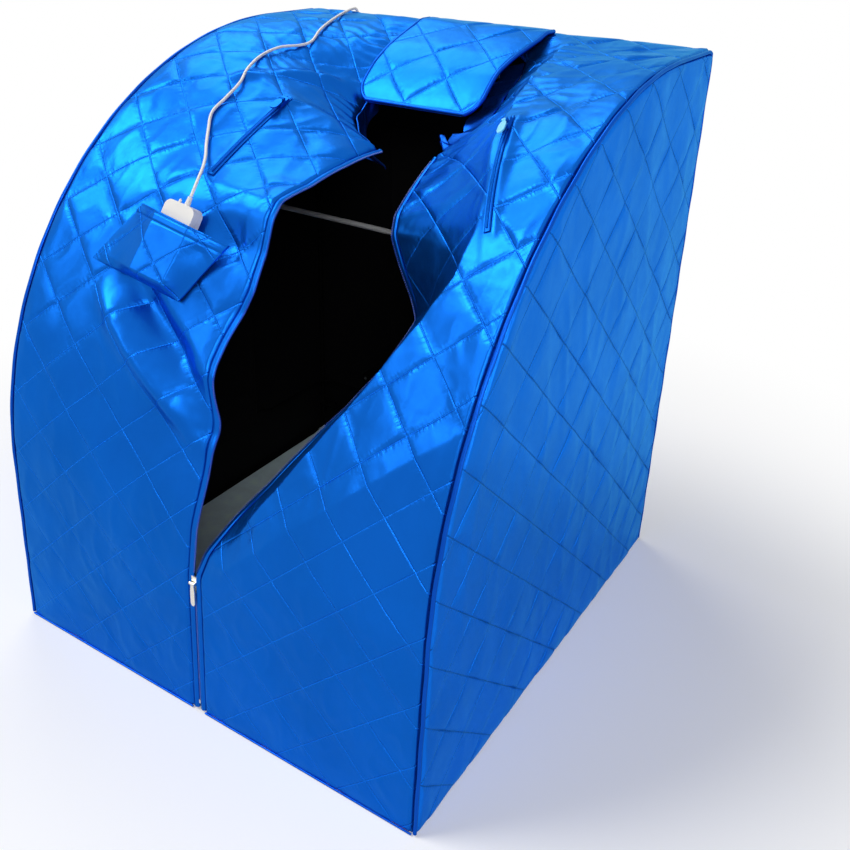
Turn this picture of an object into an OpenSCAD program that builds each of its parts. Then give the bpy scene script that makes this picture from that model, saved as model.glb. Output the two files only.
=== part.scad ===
// One-person heated sauna tent: quilted panels sewn over two rod hoops, an open
// front zip, a neck opening with a drooping flap, and a wired handset in a pocket.
// X is to the right, Y to the back, Z up. The origin is the centre of the base.

/* [Cabin] */
// Width over the two side panels
cabin_w = 800; // [760:10:860]
// Depth from the front foot to the back panel
cabin_d = 820; // [790:10:880]
// Height of the flat top
cabin_h = 940; // [910:10:980]
// Lean of the straight front, degrees from upright
front_lean = 3; // [1:0.5:5]
// Length of the straight front below the curve
front_straight = 310; // [290:5:330]
// Thickness of a quilted panel
quilt_t = 8; // [6:0.5:10]
// Thickness of the floor sheet
floor_t = 3; // [2:0.5:4]
// Diameter of the seam piping
piping_d = 6; // [5:0.5:7]

/* [Front zip and neck] */
// Length of the front zip that is shut
zip_shut = 250; // [235:5:265]
// Width of one zip tape
zip_tape_w = 10; // [8:1:12]
// Thickness of a zip tape
zip_tape_t = 2; // [1.5:0.5:2.5]
// Width of the closed zip chain
zip_chain_w = 3; // [2.5:0.5:4]
// Distance along the surface from the top of the zip to the top back edge
neck_l = 385; // [375:5:395]
// Width of the neck flap at its sewn edge
flap_w = 250; // [230:5:270]
// Length of the neck flap from its sewn edge
flap_l = 248; // [238:2:254]
// Thickness of the neck flap
flap_t = 5; // [4:0.5:6]
// Height of the gathered collar strips
collar_h = 42; // [30:2:50]
// Thickness of the collar cloth
collar_t = 2; // [1.5:0.5:3]

/* [Arm zips] */
// Length of an arm zip
arm_zip_l = 220; // [200:5:230]
// Width of an arm zip's tape
arm_tape_w = 18; // [16:1:22]
// Length of an arm zip's pull tab
arm_pull_l = 26; // [20:1:32]

/* [Frame] */
// Diameter of the frame rods
rod_d = 10; // [8:0.5:12]
// Diameter of the saddles and cups that hold the cross rods
saddle_d = 18; // [16:0.5:20]
// Depth of the blind bore that a rod end sits in
saddle_bore_l = 22; // [18:1:26]
// Distance of the back top rod below the flat top
back_top_drop = 80; // [70:5:100]
// Height of the two bottom rods
bottom_rod_z = 70; // [55:5:90]
// Distance of the middle rod from the cabin's centre, towards the back
middle_rod_y = 240; // [220:5:260]
// Height of the middle rod
middle_rod_z = 583; // [570:1:600]

/* [Lining and heaters] */
// Thickness of the lining
lining_t = 1.2; // [1:0.1:1.6]
// Thickness of a heater panel
heater_t = 4; // [3:0.5:5]
// Depth of a side heater panel
side_heater_l = 380; // [320:10:400]
// Width of the back heater panel
back_heater_w = 420; // [340:10:480]
// Height of a heater panel
heater_h = 480; // [420:10:520]

/* [Pocket and handset] */
// Width of the pocket
pocket_w = 170; // [160:5:180]
// Height of the pocket
pocket_h = 106; // [100:2:112]
// Thickness of the pocket cloth
pocket_t = 3; // [2:0.5:4]
// Width of the handset
handset_w = 54; // [50:1:60]
// Length of the handset
handset_l = 112; // [106:1:118]
// Thickness of the handset
handset_t = 22; // [18:1:24]
// Wall of the handset shells
handset_wall = 2; // [1.5:0.5:3]
// Diameter of a handset button
button_d = 10; // [9:0.5:11]
// Travel of a handset button
button_travel = 1; // [0.8:0.1:1.2]
// Diameter of the handset cord
cord_d = 5; // [4:0.5:6]

/* [Power box] */
// Width of the power box
box_w = 160; // [140:5:180]
// Height of the power box
box_h = 110; // [100:5:130]
// Depth of the power box
box_t = 38; // [32:1:44]
// Wall of the power box
box_wall = 2.5; // [2:0.5:4]

/* [Clearances] */
// Gap between sewn neighbours
seam_gap = 0.3; // [0.2:0.1:0.5]
// Gap of a rod in its bore, all round
rod_fit = 0.1; // [0.05:0.05:0.2]
// Gap between sliding pieces
slide_gap = 0.3; // [0.2:0.1:0.4]
// Room left between a hoop saddle and the panel before it
saddle_gap = 1.5; // [1:0.1:2]

/* [Hidden] */
$fn = 48;

// Side profile: a leaning straight front, one arc, and a flat top to the back edge.
half_w = cabin_w / 2;
front_y = -cabin_d / 2;
back_y = cabin_d / 2;
front_angle = 90 - front_lean;
arc_r = (cabin_h - front_straight * sin(front_angle)) / (1 - cos(front_angle));
arc_cy = front_y + front_straight * cos(front_angle) + arc_r * sin(front_angle);
arc_cz = cabin_h - arc_r;
s_arc_end = front_straight + arc_r * front_angle * PI / 180;
s_total = s_arc_end + back_y - arc_cy;
zip_top = s_total - neck_l;
s_hem = s_total - 2 * quilt_t;

// Where the sheets lie across the width.
side_in_x = half_w - quilt_t;
seam_x = side_in_x - seam_gap;
lining_in_x = side_in_x - seam_gap - lining_t;
groove = piping_d + seam_gap;
back_in_y = back_y - quilt_t;
back_lining_y = back_in_y - seam_gap - lining_t;
zip_gap = zip_chain_w / 2 + seam_gap;

// The hoops and what sits on them.
rod_r = rod_d / 2;
saddle_r = saddle_d / 2;
hoop_x = lining_in_x - seam_gap - rod_r;
hoop_inset = quilt_t + saddle_gap + saddle_r;
hoop_back_y = back_lining_y - seam_gap - saddle_r;
hoop_low_z = floor_t + seam_gap + rod_r;
back_top_z = cabin_h - back_top_drop;
hoop_bend = 40;
saddle_wall = 8;
saddle_out_x = hoop_x + rod_r / 2;
saddle_end_x = hoop_x - rod_r - saddle_wall;

blue = [0.03, 0.30, 0.86];
deep_blue = [0.02, 0.16, 0.55];
black = [0.04, 0.04, 0.05];
white = [0.92, 0.92, 0.90];
steel = [0.62, 0.63, 0.65];

// Points on the profile: s runs up the front and over the top, n stands outwards.
function slope(s) = s < front_straight ? front_angle
    : s < s_arc_end ? front_angle - (s - front_straight) / arc_r * 180 / PI : 0;
function outward(s) = [-sin(slope(s)), cos(slope(s))];
function foot(s) = s < front_straight ? [front_y + s * cos(front_angle), s * sin(front_angle)]
    : s < s_arc_end ? [arc_cy, arc_cz] + arc_r * outward(s) : [arc_cy + s - s_arc_end, cabin_h];
function at(x, s, n) = let(q = foot(s) + n * outward(s)) [x, q[0], q[1]];
function unit(v) = v / norm(v);
function mix(a, b, t) = a + (b - a) * t;
function clamp(t) = min(1, max(0, t));
function hump(t) = exp(-t * t);

// Left half: it hangs nearly in place, and sinks towards the zip and the neck.
left_zip_x = [[0, -zip_gap], [zip_shut + 235, -zip_gap], [zip_shut + 280, -13], [zip_shut + 320, -18],
    [zip_shut + 360, -16], [zip_shut + 400, -10], [zip_shut + 440, -zip_gap], [zip_top, -zip_gap]];
left_neck_x = [[zip_top, -12], [zip_top + 10, -30], [zip_top + 35, -70], [zip_top + 75, -100],
    [zip_top + 125, -118], [zip_top + 200, -122], [zip_top + 255, -118], [zip_top + 311, -95],
    [zip_top + 335, -60], [zip_top + 350, -seam_gap], [s_total, -seam_gap]];
left_sag = [[0, 0], [zip_shut, 0], [zip_shut + 75, 10], [zip_shut + 135, 27], [zip_shut + 180, 38],
    [zip_shut + 220, 42], [zip_shut + 260, 28], [zip_shut + 300, 24], [zip_shut + 355, 34],
    [zip_shut + 405, 42], [zip_shut + 500, 30], [zip_shut + 548, 12], [zip_shut + 576, 11],
    [zip_shut + 633, 47], [zip_top - 105, 84],
    [zip_top, 122], [zip_top + 35, 115], [zip_top + 75, 110], [zip_top + 125, 112],
    [zip_top + 155, 102], [zip_top + 200, 76], [zip_top + 255, 48], [zip_top + 311, 26],
    [zip_top + 350, 10], [s_hem, 0]];
left_power = 1.8;
// A slanting fold below the pocket: a ridge, and a valley beside it.
fold_x = -300;
fold_s = zip_shut + 416;
fold_turn = -38;
fold_l = 356;
fold_step = 65;
fold_half = 30;
ridge_h = 9;
valley_h = 12;
function along_fold(x, s) = (x - fold_x) * cos(fold_turn) + (s - fold_s) * sin(fold_turn);
function across_fold(x, s) = -(x - fold_x) * sin(fold_turn) + (s - fold_s) * cos(fold_turn);
fold_start = 90;
fold_fade = 80;
function fold_reach(x, s) = clamp((along_fold(x, s) - fold_start) / fold_fade + 0.5)
    * clamp((fold_l - along_fold(x, s)) / fold_fade + 0.5);
function left_fold(x, s) = fold_reach(x, s) * (valley_h * hump((across_fold(x, s) - fold_step) / fold_half)
    - ridge_h * hump(across_fold(x, s) / fold_half));
function left_panel_edge(s) = s <= zip_top ? lookup(s, left_zip_x) - zip_tape_w - seam_gap
    : lookup(s, left_neck_x);
function left_reach(x, s) = clamp((x + seam_x) / (left_panel_edge(s) + seam_x));
function left_depth(x, s) = lookup(s, left_sag) * pow(left_reach(x, s), left_power)
    + clamp((x + seam_x) / 60) * left_fold(x, s);

// Right half: it leans in above a slanting crease, folds over a ridge, and its zip
// edge hangs inside.
right_zip_x = [[0, zip_gap], [zip_shut, zip_gap], [zip_shut + 40, 11], [zip_shut + 90, 34],
    [zip_shut + 150, 64], [zip_shut + 220, 91], [zip_shut + 300, 118], [zip_shut + 390, 140],
    [zip_shut + 470, 149], [zip_shut + 520, 152], [zip_shut + 547, 153], [zip_shut + 584, 136],
    [zip_shut + 623, 115], [zip_shut + 659, 108], [zip_shut + 725, 102], [zip_top, 90]];
right_neck_x = [[zip_top, 90], [zip_top + 10, 105], [zip_top + 35, 122], [zip_top + 75, 130],
    [zip_top + 125, 132], [zip_top + 190, 131], [zip_top + 255, 128], [zip_top + 311, 108],
    [zip_top + 335, 70], [zip_top + 350, seam_gap], [s_total, seam_gap]];
right_sag = [[0, 0], [zip_shut, 0], [zip_shut + 40, 15], [zip_shut + 90, 50], [zip_shut + 150, 90],
    [zip_shut + 220, 130], [zip_shut + 300, 170], [zip_shut + 390, 200], [zip_shut + 470, 215],
    [zip_shut + 520, 222], [zip_shut + 547, 180], [zip_shut + 584, 142], [zip_shut + 623, 118],
    [zip_shut + 659, 109], [zip_shut + 725, 113], [zip_top, 122], [zip_top + 10, 112],
    [zip_top + 35, 104], [zip_top + 75, 102], [zip_top + 125, 106], [zip_top + 155, 96],
    [zip_top + 200, 78], [zip_top + 255, 58], [zip_top + 311, 36], [zip_top + 350, 12], [s_hem, 0]];
ridge_x = [[0, 45], [zip_shut, 45], [zip_shut + 61, 54], [zip_shut + 138, 98], [zip_shut + 193, 132],
    [zip_shut + 252, 167], [zip_shut + 308, 199], [zip_shut + 370, 234], [zip_shut + 459, 272],
    [zip_shut + 530, 300], [zip_shut + 600, 300], [zip_shut + 668, 284], [zip_top - 65, 246],
    [zip_top + 75, 215], [zip_top + 255, 185], [s_total, 170]];
ridge_sag = [[0, 0], [zip_shut + 20, 0], [zip_shut + 100, 10], [zip_shut + 193, 20],
    [zip_shut + 308, 25], [zip_shut + 459, 22], [zip_shut + 530, 14], [zip_shut + 668, 12],
    [zip_top - 65, 16], [zip_top + 75, 28], [zip_top + 255, 16], [s_hem, 0]];
crease_s = zip_shut - 22;
crease_rise = 1.05;
ridge_power = 1.4;
hang_power = 0.85;
function right_edge(s) = s <= zip_top ? lookup(s, right_zip_x) : lookup(s, right_neck_x);
function right_panel_edge(s) = s <= zip_top ? right_edge(s) + zip_tape_w + seam_gap : right_edge(s);
function crease_x(s) = min(seam_x, max(lookup(s, ridge_x) + 10, (s - crease_s) * crease_rise));
function right_depth(x, s) = let(rx = lookup(s, ridge_x), rd = lookup(s, ridge_sag), ex = right_edge(s))
    x >= rx ? rd * pow(clamp((crease_x(s) - x) / (crease_x(s) - rx)), ridge_power)
    : mix(rd, lookup(s, right_sag), pow(clamp((rx - x) / (rx - ex)), hang_power));
function depth(x, s) = x < 0 ? left_depth(x, s) : right_depth(x, s);

// A point that stands n above a front half, and a frame there: X across, Y up along it, Z out.
function on_front(x, s, n) = at(x, s, n - depth(x, s));
function front_frame(x, s, turn, reach, n) = let(
    step = reach * [-sin(turn), cos(turn)],
    p = on_front(x, s, 0),
    e2 = unit(on_front(x + step[0], s + step[1], 0) - on_front(x - step[0], s - step[1], 0)),
    tx = on_front(x + reach / 3, s, 0) - on_front(x - reach / 3, s, 0),
    e3 = unit(cross(tx, e2)),
    e1 = cross(e2, e3),
    o = p + n * e3)
    [[e1[0], e2[0], e3[0], o[0]], [e1[1], e2[1], e3[1], o[1]], [e1[2], e2[2], e3[2], o[2]], [0, 0, 0, 1]];
function column(m, k) = [m[0][k], m[1][k], m[2][k]];
function placed(m, p) = column(m, 0) * p[0] + column(m, 1) * p[1] + column(m, 2) * p[2] + column(m, 3);

// A sheet over a grid: outer(i, j) and inner(i, j) give its two faces, with j to the right
// and i upwards as seen from outside.
module sheet(rows, cols, outer, inner) {
    count = rows * cols;
    points = concat([for (i = [0 : rows - 1], j = [0 : cols - 1]) outer(i, j)],
        [for (i = [0 : rows - 1], j = [0 : cols - 1]) inner(i, j)]);
    cells = [for (i = [0 : rows - 2], j = [0 : cols - 2]) [i * cols + j, i * cols + j + 1,
        (i + 1) * cols + j + 1, (i + 1) * cols + j]];
    low = [for (j = [0 : cols - 2]) [j, j + 1]];
    high = [for (j = [0 : cols - 2]) [(rows - 1) * cols + j + 1, (rows - 1) * cols + j]];
    first = [for (i = [0 : rows - 2]) [(i + 1) * cols, i * cols]];
    last = [for (i = [0 : rows - 2]) [(i + 1) * cols - 1, (i + 2) * cols - 1]];
    faces = concat([for (c = cells) [c[0], c[3], c[2]]], [for (c = cells) [c[0], c[2], c[1]]],
        [for (c = cells) [c[0] + count, c[2] + count, c[3] + count]],
        [for (c = cells) [c[0] + count, c[1] + count, c[2] + count]],
        [for (e = concat(low, high, first, last)) [e[0], e[1], e[1] + count]],
        [for (e = concat(low, high, first, last)) [e[0], e[1] + count, e[0] + count]]);
    polyhedron(points = points, faces = faces, convexity = 10);
}

// Rows up the front halves, closer together round the neck.
panel_foot = quilt_t * cos(front_angle) + seam_gap;
front_rows = concat([panel_foot, 60, 120, 180, zip_shut], [for (s = [zip_shut + 25 : 40 : zip_top - 12]) s],
    [for (k = [0, 10, 35, 75, 125, 190, 255, 311, 335, 350]) zip_top + k], [s_hem, s_total]);
row_count = len(front_rows);
tape_foot = 12;
tape_rows = concat([tape_foot], [for (s = front_rows) if (s > tape_foot && s <= zip_top) s]);
left_cols = 11;
hang_cols = 7;
ridge_cols = 5;

function left_x(i, j) = mix(-seam_x, left_panel_edge(front_rows[i]), j / left_cols);
function right_x(i, j) = let(s = front_rows[i], rx = lookup(s, ridge_x))
    j <= hang_cols ? mix(right_panel_edge(s), rx, j / hang_cols)
    : mix(rx, seam_x, (j - hang_cols) / ridge_cols);

module front_left_panel() color(blue)
    sheet(row_count, left_cols + 1,
        function(i, j) on_front(left_x(i, j), front_rows[i], 0),
        function(i, j) on_front(left_x(i, j), front_rows[i], -quilt_t));

module front_right_panel() color(blue)
    sheet(row_count, hang_cols + ridge_cols + 1,
        function(i, j) on_front(right_x(i, j), front_rows[i], 0),
        function(i, j) on_front(right_x(i, j), front_rows[i], -quilt_t));

// Front zip: the tapes lie in the middle of the panels' thickness.
tape_n = -(quilt_t - zip_tape_t) / 2;

function left_tape_x(s, j) = lookup(s, left_zip_x) - (j == 0 ? zip_tape_w : 0);
function right_tape_x(s, j) = right_edge(s) + (j == 0 ? 0 : zip_tape_w);

module front_zip_left_tape() color(deep_blue)
    sheet(len(tape_rows), 2,
        function(i, j) on_front(left_tape_x(tape_rows[i], j), tape_rows[i], tape_n),
        function(i, j) on_front(left_tape_x(tape_rows[i], j), tape_rows[i], tape_n - zip_tape_t));

module front_zip_right_tape() color(deep_blue)
    sheet(len(tape_rows), 2,
        function(i, j) on_front(right_tape_x(tape_rows[i], j), tape_rows[i], tape_n),
        function(i, j) on_front(right_tape_x(tape_rows[i], j), tape_rows[i], tape_n - zip_tape_t));

// The straight front as a flat frame: X across, Y up along it, Z outwards.
module on_straight(s) translate(at(0, s, 0)) rotate([front_angle, 0, 0]) children();

slider_l = 28;
slider_w = 13;
slider_plate = 1.8;
slider_s = zip_shut - slider_l / 2;
slider_post_l = 5;
slider_top_z = tape_n + slide_gap;
slider_low_z = tape_n - zip_tape_t - slide_gap;
chain_foot = tape_foot + 8;
chain_top = slider_s + slider_l / 2 - slider_post_l - 3 * slide_gap;

module front_zip_chain() color(deep_blue)
    on_straight(0)
        translate([-zip_chain_w / 2, chain_foot + slide_gap, tape_n - zip_tape_t])
            cube([zip_chain_w, chain_top - chain_foot - slide_gap, zip_tape_t]);

module front_zip_stop() color(steel)
    on_straight(0)
        translate([-zip_chain_w / 2, chain_foot - 7, tape_n - zip_tape_t - 1])
            cube([zip_chain_w, 7, zip_tape_t + 2]);

// A pull's pivot: a pin between two ears. The eye turns on the pin.
pin_r = 1.2;
eye_r = 2.6;
eye_w = 6;
ear_w = 1.4;
ear_gap = 0.4;
pin_lift = eye_r + 0.5;
ear_out = eye_w / 2 + ear_gap + ear_w;
pull_t = 2;
front_pull_l = 34;
front_pull_w = 8;

module along_x(r, l) rotate([0, 90, 0]) cylinder(r = r, h = l, center = true);

module pull_ears() {
    for (side = [-1, 1])
        translate([side * (ear_out - ear_w / 2), 0, 0]) {
            translate([-ear_w / 2, -eye_r, -1]) cube([ear_w, 2 * eye_r, pin_lift + 1]);
            translate([0, 0, pin_lift]) along_x(eye_r, ear_w);
        }
    translate([0, 0, pin_lift]) along_x(pin_r, 2 * ear_out - ear_w);
}

module pull_eye() difference() {
    union() {
        translate([0, 0, pin_lift]) along_x(eye_r, eye_w);
        translate([-eye_w / 2, -eye_r - 3, pin_lift - pull_t / 2]) cube([eye_w, eye_r + 3, pull_t]);
    }
    translate([0, 0, pin_lift]) along_x(pin_r + rod_fit, eye_w + 2);
}

front_ears_y = 3;

module front_zip_slider() color(white)
    on_straight(slider_s) {
        translate([-slider_w / 2, -slider_l / 2, slider_top_z]) cube([slider_w, slider_l, slider_plate]);
        translate([-slider_w / 2, -slider_l / 2, slider_low_z - slider_plate])
            cube([slider_w, slider_l, slider_plate]);
        translate([-zip_chain_w / 2, slider_l / 2 - slider_post_l, slider_low_z - slider_plate / 2])
            cube([zip_chain_w, slider_post_l, slider_top_z - slider_low_z + slider_plate]);
        translate([0, front_ears_y, slider_top_z + slider_plate]) pull_ears();
    }

module front_zip_pull() color(white)
    on_straight(slider_s) translate([0, front_ears_y, slider_top_z + slider_plate]) {
        pull_eye();
        translate([0, -eye_r - 2, pin_lift - pull_t / 2]) linear_extrude(pull_t)
            polygon([[-eye_w / 2, 0], [eye_w / 2, 0], [front_pull_w / 2, -8],
                [front_pull_w / 2, 4 - front_pull_l], [front_pull_w / 2 - 2, -front_pull_l],
                [2 - front_pull_w / 2, -front_pull_l], [-front_pull_w / 2, 4 - front_pull_l],
                [-front_pull_w / 2, -8]]);
    }

// Arm zips: a tape with a coil along its middle, bent to the surface that it is sewn on.
// An arm's place: x across, turn on the surface, and how far its tape stands off it.
left_arm = [-150, 4, 1.8];
right_arm = [284, 18, 3.5];
arm_s = zip_shut + 700;
arm_tape_t = 1.5;
arm_coil_w = 5;
arm_coil_t = 2;
arm_slider_l = 24;
arm_slider_w = 12;
arm_slider_t = 3;
arm_end = 12;

function arm_frame(arm) = front_frame(arm[0], arm_s, arm[1], arm_zip_l / 2, arm[2]);
function arm_end_point(arm, side) = on_front(arm[0] - side * sin(arm[1]) * arm_zip_l / 2,
    arm_s + side * cos(arm[1]) * arm_zip_l / 2, 0);
function arm_bend(arm) = let(middle = (arm_end_point(arm, 1) + arm_end_point(arm, -1)) / 2)
    arm_zip_l * arm_zip_l / 8 / ((on_front(arm[0], arm_s, 0) - middle) * column(arm_frame(arm), 2));
function arm_half_angle(r) = arm_zip_l / 2 / r * 180 / PI;
function arm_slider_angle(r) = (arm_zip_l / 2 - arm_end - arm_slider_l / 2) / r * 180 / PI;

module arm_tape(arm) {
    r = arm_bend(arm);
    half = arm_half_angle(r);
    multmatrix(arm_frame(arm)) translate([0, 0, -r]) rotate([0, 90, 0]) rotate([0, 0, 180 - half])
        rotate_extrude(angle = 2 * half, $fn = 96)
            polygon([[r, -arm_tape_w / 2], [r + arm_tape_t, -arm_tape_w / 2],
                [r + arm_tape_t, -arm_coil_w / 2], [r + arm_tape_t + arm_coil_t, -arm_coil_w / 2],
                [r + arm_tape_t + arm_coil_t, arm_coil_w / 2], [r + arm_tape_t, arm_coil_w / 2],
                [r + arm_tape_t, arm_tape_w / 2], [r, arm_tape_w / 2]]);
}

module at_arm_slider(arm) {
    r = arm_bend(arm);
    multmatrix(arm_frame(arm)) translate([0, 0, -r]) rotate([-arm_slider_angle(r), 0, 0])
        translate([0, 0, r + arm_tape_t + slide_gap]) children();
}

arm_body_z = arm_coil_t + slide_gap + arm_slider_t;

module arm_slider(arm)
    at_arm_slider(arm) {
        difference() {
            translate([-arm_slider_w / 2, -arm_slider_l / 2, 0])
                cube([arm_slider_w, arm_slider_l, arm_body_z]);
            translate([-arm_coil_w / 2 - slide_gap, -arm_slider_l, -1])
                cube([arm_coil_w + 2 * slide_gap, 2 * arm_slider_l, 1 + arm_coil_t + 2 * slide_gap]);
        }
        translate([0, 0, arm_body_z]) pull_ears();
    }

arm_pull_w = 12;

module arm_pull(arm)
    at_arm_slider(arm) translate([0, 0, arm_body_z]) {
        pull_eye();
        translate([0, -eye_r - 2, pin_lift - pull_t / 2]) linear_extrude(pull_t)
            polygon([[-eye_w / 2, 0], [eye_w / 2, 0], [arm_pull_w / 2, -6],
                [arm_pull_w / 2, 6 - arm_pull_l], [eye_w / 2, -arm_pull_l], [-eye_w / 2, -arm_pull_l],
                [-arm_pull_w / 2, 6 - arm_pull_l], [-arm_pull_w / 2, -6]]);
    }

module left_arm_zip() color(deep_blue) arm_tape(left_arm);
module right_arm_zip() color(deep_blue) arm_tape(right_arm);
module left_arm_zip_slider() color(deep_blue) arm_slider(left_arm);
module right_arm_zip_slider() color(deep_blue) arm_slider(right_arm);
module left_arm_zip_pull() color(blue) arm_pull(left_arm);
module right_arm_zip_pull() color(blue) arm_pull(right_arm);

// Neck flap: sewn at the top back edge, drooping into the neck opening.
flap_sewn_s = s_total - 8;
flap_sag = [[zip_top + 110, 112], [zip_top + 125, 106], [zip_top + 145, 92], [zip_top + 200, 57],
    [zip_top + 255, 31], [zip_top + 311, 11], [zip_top + 345, 0], [s_total, 0]];
flap_lift = flap_t + 0.6;
flap_corner = 38;
flap_waist = 16;
flap_shift = 10;
flap_rows = 15;
flap_cols = 9;

function flap_s(i) = flap_sewn_s - flap_l * i / (flap_rows - 1);
function flap_half(l) = flap_w / 2 - flap_waist / 2 * clamp((l - 60) / 100)
    - (l < flap_l - flap_corner ? 0
        : flap_corner * (1 - sqrt(1 - pow((l - flap_l + flap_corner) / (flap_corner + 2), 2))));
function flap_mid(l) = -flap_shift * clamp((l - 60) / 100);
function flap_point(i, j, n) = let(k = flap_rows - 1 - i, l = flap_l * k / (flap_rows - 1), s = flap_s(k))
    at(flap_mid(l) + mix(-1, 1, j / (flap_cols - 1)) * flap_half(l), s,
        n + flap_lift - lookup(s, flap_sag));

module neck_flap() color(blue)
    sheet(flap_rows, flap_cols,
        function(i, j) flap_point(i, j, 0),
        function(i, j) flap_point(i, j, -flap_t));

// Collars: gathered strips along the edges of the neck opening. The left one hangs, the right one
// leans in.
collar_rows = 25;
collar_cols = 4;
collar_foot = zip_top + 14;
collar_end = zip_top + 300;
collar_clear = [2.5, 1.2];
collar_lean = [0, 65];
gather_h = 3;
gathers = 8;

function neck_point(side, s) = side < 0 ? on_front(lookup(s, left_neck_x), s, 0)
    : on_front(lookup(s, right_neck_x), s, 0);
function neck_inward(side, s) = let(t = neck_point(side, s + 6) - neck_point(side, s - 6))
    unit([side < 0 ? t[1] : -t[1], side < 0 ? -t[0] : t[0], 0]);
function collar_point(side, i, j, off) = let(t = i / (collar_rows - 1), k = side < 0 ? 0 : 1,
    s = mix(collar_foot, collar_end, t), w = j / (collar_cols - 1),
    inward = neck_inward(side, s),
    down = inward * sin(collar_lean[k]) - [0, 0, cos(collar_lean[k])],
    face = inward * cos(collar_lean[k]) + [0, 0, sin(collar_lean[k])],
    wave = gather_h * (0.3 + 0.7 * w) * (1 + sin(360 * gathers * t)))
    neck_point(side, s) - [0, 0, quilt_t / 2] + inward * collar_clear[k] + face * (wave + off)
        + down * collar_h * w;

module left_neck_collar() color(deep_blue)
    sheet(collar_rows, collar_cols,
        function(i, j) collar_point(-1, i, j, 0),
        function(i, j) collar_point(-1, i, j, collar_t));

module right_neck_collar() color(deep_blue)
    sheet(collar_rows, collar_cols,
        function(i, j) collar_point(1, i, j, collar_t),
        function(i, j) collar_point(1, i, j, 0));

// Flat panels. The outline is the profile drawn in by inset on every edge but the base.
arc_steps = 36;
arc_stations = [for (k = [0 : arc_steps]) mix(front_straight, s_arc_end, k / arc_steps)];

function profile(inset) = [for (s = arc_stations) foot(s) - inset * outward(s)];

function front_foot_y(inset, z) = front_y + inset / sin(front_angle) + z / tan(front_angle);

corner_cut = 8;
module profile_outline(inset, foot_z)
    polygon(concat([[front_foot_y(inset, foot_z), foot_z]], profile(inset),
        [[back_y - inset - corner_cut, cabin_h - inset], [back_y - inset, cabin_h - inset - corner_cut],
        [back_y - inset, foot_z]]));

module upright_plate(x, t, inset, foot_z)
    translate([x, 0, 0]) rotate([90, 0, 90]) linear_extrude(t) profile_outline(inset, foot_z);

module left_side_panel() color(blue) upright_plate(-half_w, quilt_t, groove, 0);
module right_side_panel() color(blue) upright_plate(half_w - quilt_t, quilt_t, groove, 0);

lining_inset = quilt_t + 1;
lining_foot = floor_t + seam_gap;
module left_lining() color(black)
    upright_plate(-side_in_x + seam_gap, lining_t, lining_inset, lining_foot);
module right_lining() color(black)
    upright_plate(side_in_x - seam_gap - lining_t, lining_t, lining_inset, lining_foot);

// Power box on the back wall, with the inlet and the cord's gland outside.
box_x = -170;
box_z = 140;
inlet_x = box_x + 40;
inlet_w = 28;
inlet_h = 22;
inlet_flange = 10;
inlet_flange_t = 3;
gland_x = box_x - 40;
gland_stem_r = 5;
gland_body = [18, 14, 26];
gland_nose_l = 24;
gland_nose_r = 5;
wall_hole_fit = 0.5;

module wall_holes(y, t) {
    translate([inlet_x - inlet_w / 2 - wall_hole_fit, y - 1, box_z - inlet_h / 2 - wall_hole_fit])
        cube([inlet_w + 2 * wall_hole_fit, t + 2, inlet_h + 2 * wall_hole_fit]);
    translate([gland_x, y - 1, box_z]) rotate([-90, 0, 0])
        cylinder(r = gland_stem_r + wall_hole_fit, h = t + 2);
}

module back_panel() color(blue) difference() {
    translate([-seam_x, back_in_y, 0]) cube([2 * seam_x, quilt_t, cabin_h - quilt_t - seam_gap]);
    wall_holes(back_in_y, quilt_t);
}

module back_lining() color(black) difference() {
    translate([-lining_in_x + 1, back_lining_y, lining_foot])
        cube([2 * lining_in_x - 2, lining_t, cabin_h - 2 * quilt_t - lining_foot]);
    wall_holes(back_lining_y, lining_t);
}

module floor_sheet() color([0.45, 0.46, 0.48])
    translate([-lining_in_x, front_y + quilt_t + 1, 0])
        cube([2 * lining_in_x, back_lining_y - front_y - quilt_t - 1 - seam_gap, floor_t]);

// Round rods and piping: a tube swept through points in the plane x. A bend of radius r
// turns about a centre, between two angles that start at +Y and grow towards +Z.
bend_steps = 6;

function in_plane(x, points) = [for (q = points) [x, q[0], q[1]]];
function bend(centre, r, from, to) = [for (k = [0 : bend_steps])
    let(a = mix(from, to, k / bend_steps)) centre + r * [cos(a), sin(a)]];
function spaced(from, to, count) = [for (k = [1 : count]) mix(from, to, k / (count + 1))];

piping_r = piping_d / 2;
piping_in = piping_r;
piping_bend = 12;
piping_foot = 3;
piping_x = half_w - piping_r - 0.2;

piping_sides = 8;

function piping_path() = let(
    front_low = foot(piping_foot) - piping_in * outward(0),
    front_high = foot(front_straight) - piping_in * outward(0),
    corner = [back_y, cabin_h] - [1, 1] * (piping_in + piping_bend),
    back_high = [back_y - piping_in, corner[1]],
    back_low = [back_y - piping_in, piping_foot])
    concat([front_low], spaced(front_low, front_high, 3), profile(piping_in),
        bend(corner, piping_bend, 90, 0), spaced(back_high, back_low, 5), [back_low]);

module seam_piping(x) tube(in_plane(x, piping_path()), piping_r, piping_sides, false);

module left_seam_piping() color(deep_blue) seam_piping(-piping_x);
module right_seam_piping() color(deep_blue) seam_piping(piping_x);

hoop_front_y = front_foot_y(hoop_inset, hoop_low_z);
hoop_run = hoop_bend / tan(front_angle / 2);
hoop_elbow_y = hoop_front_y + hoop_run;

hoop_sides = 10;

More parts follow.
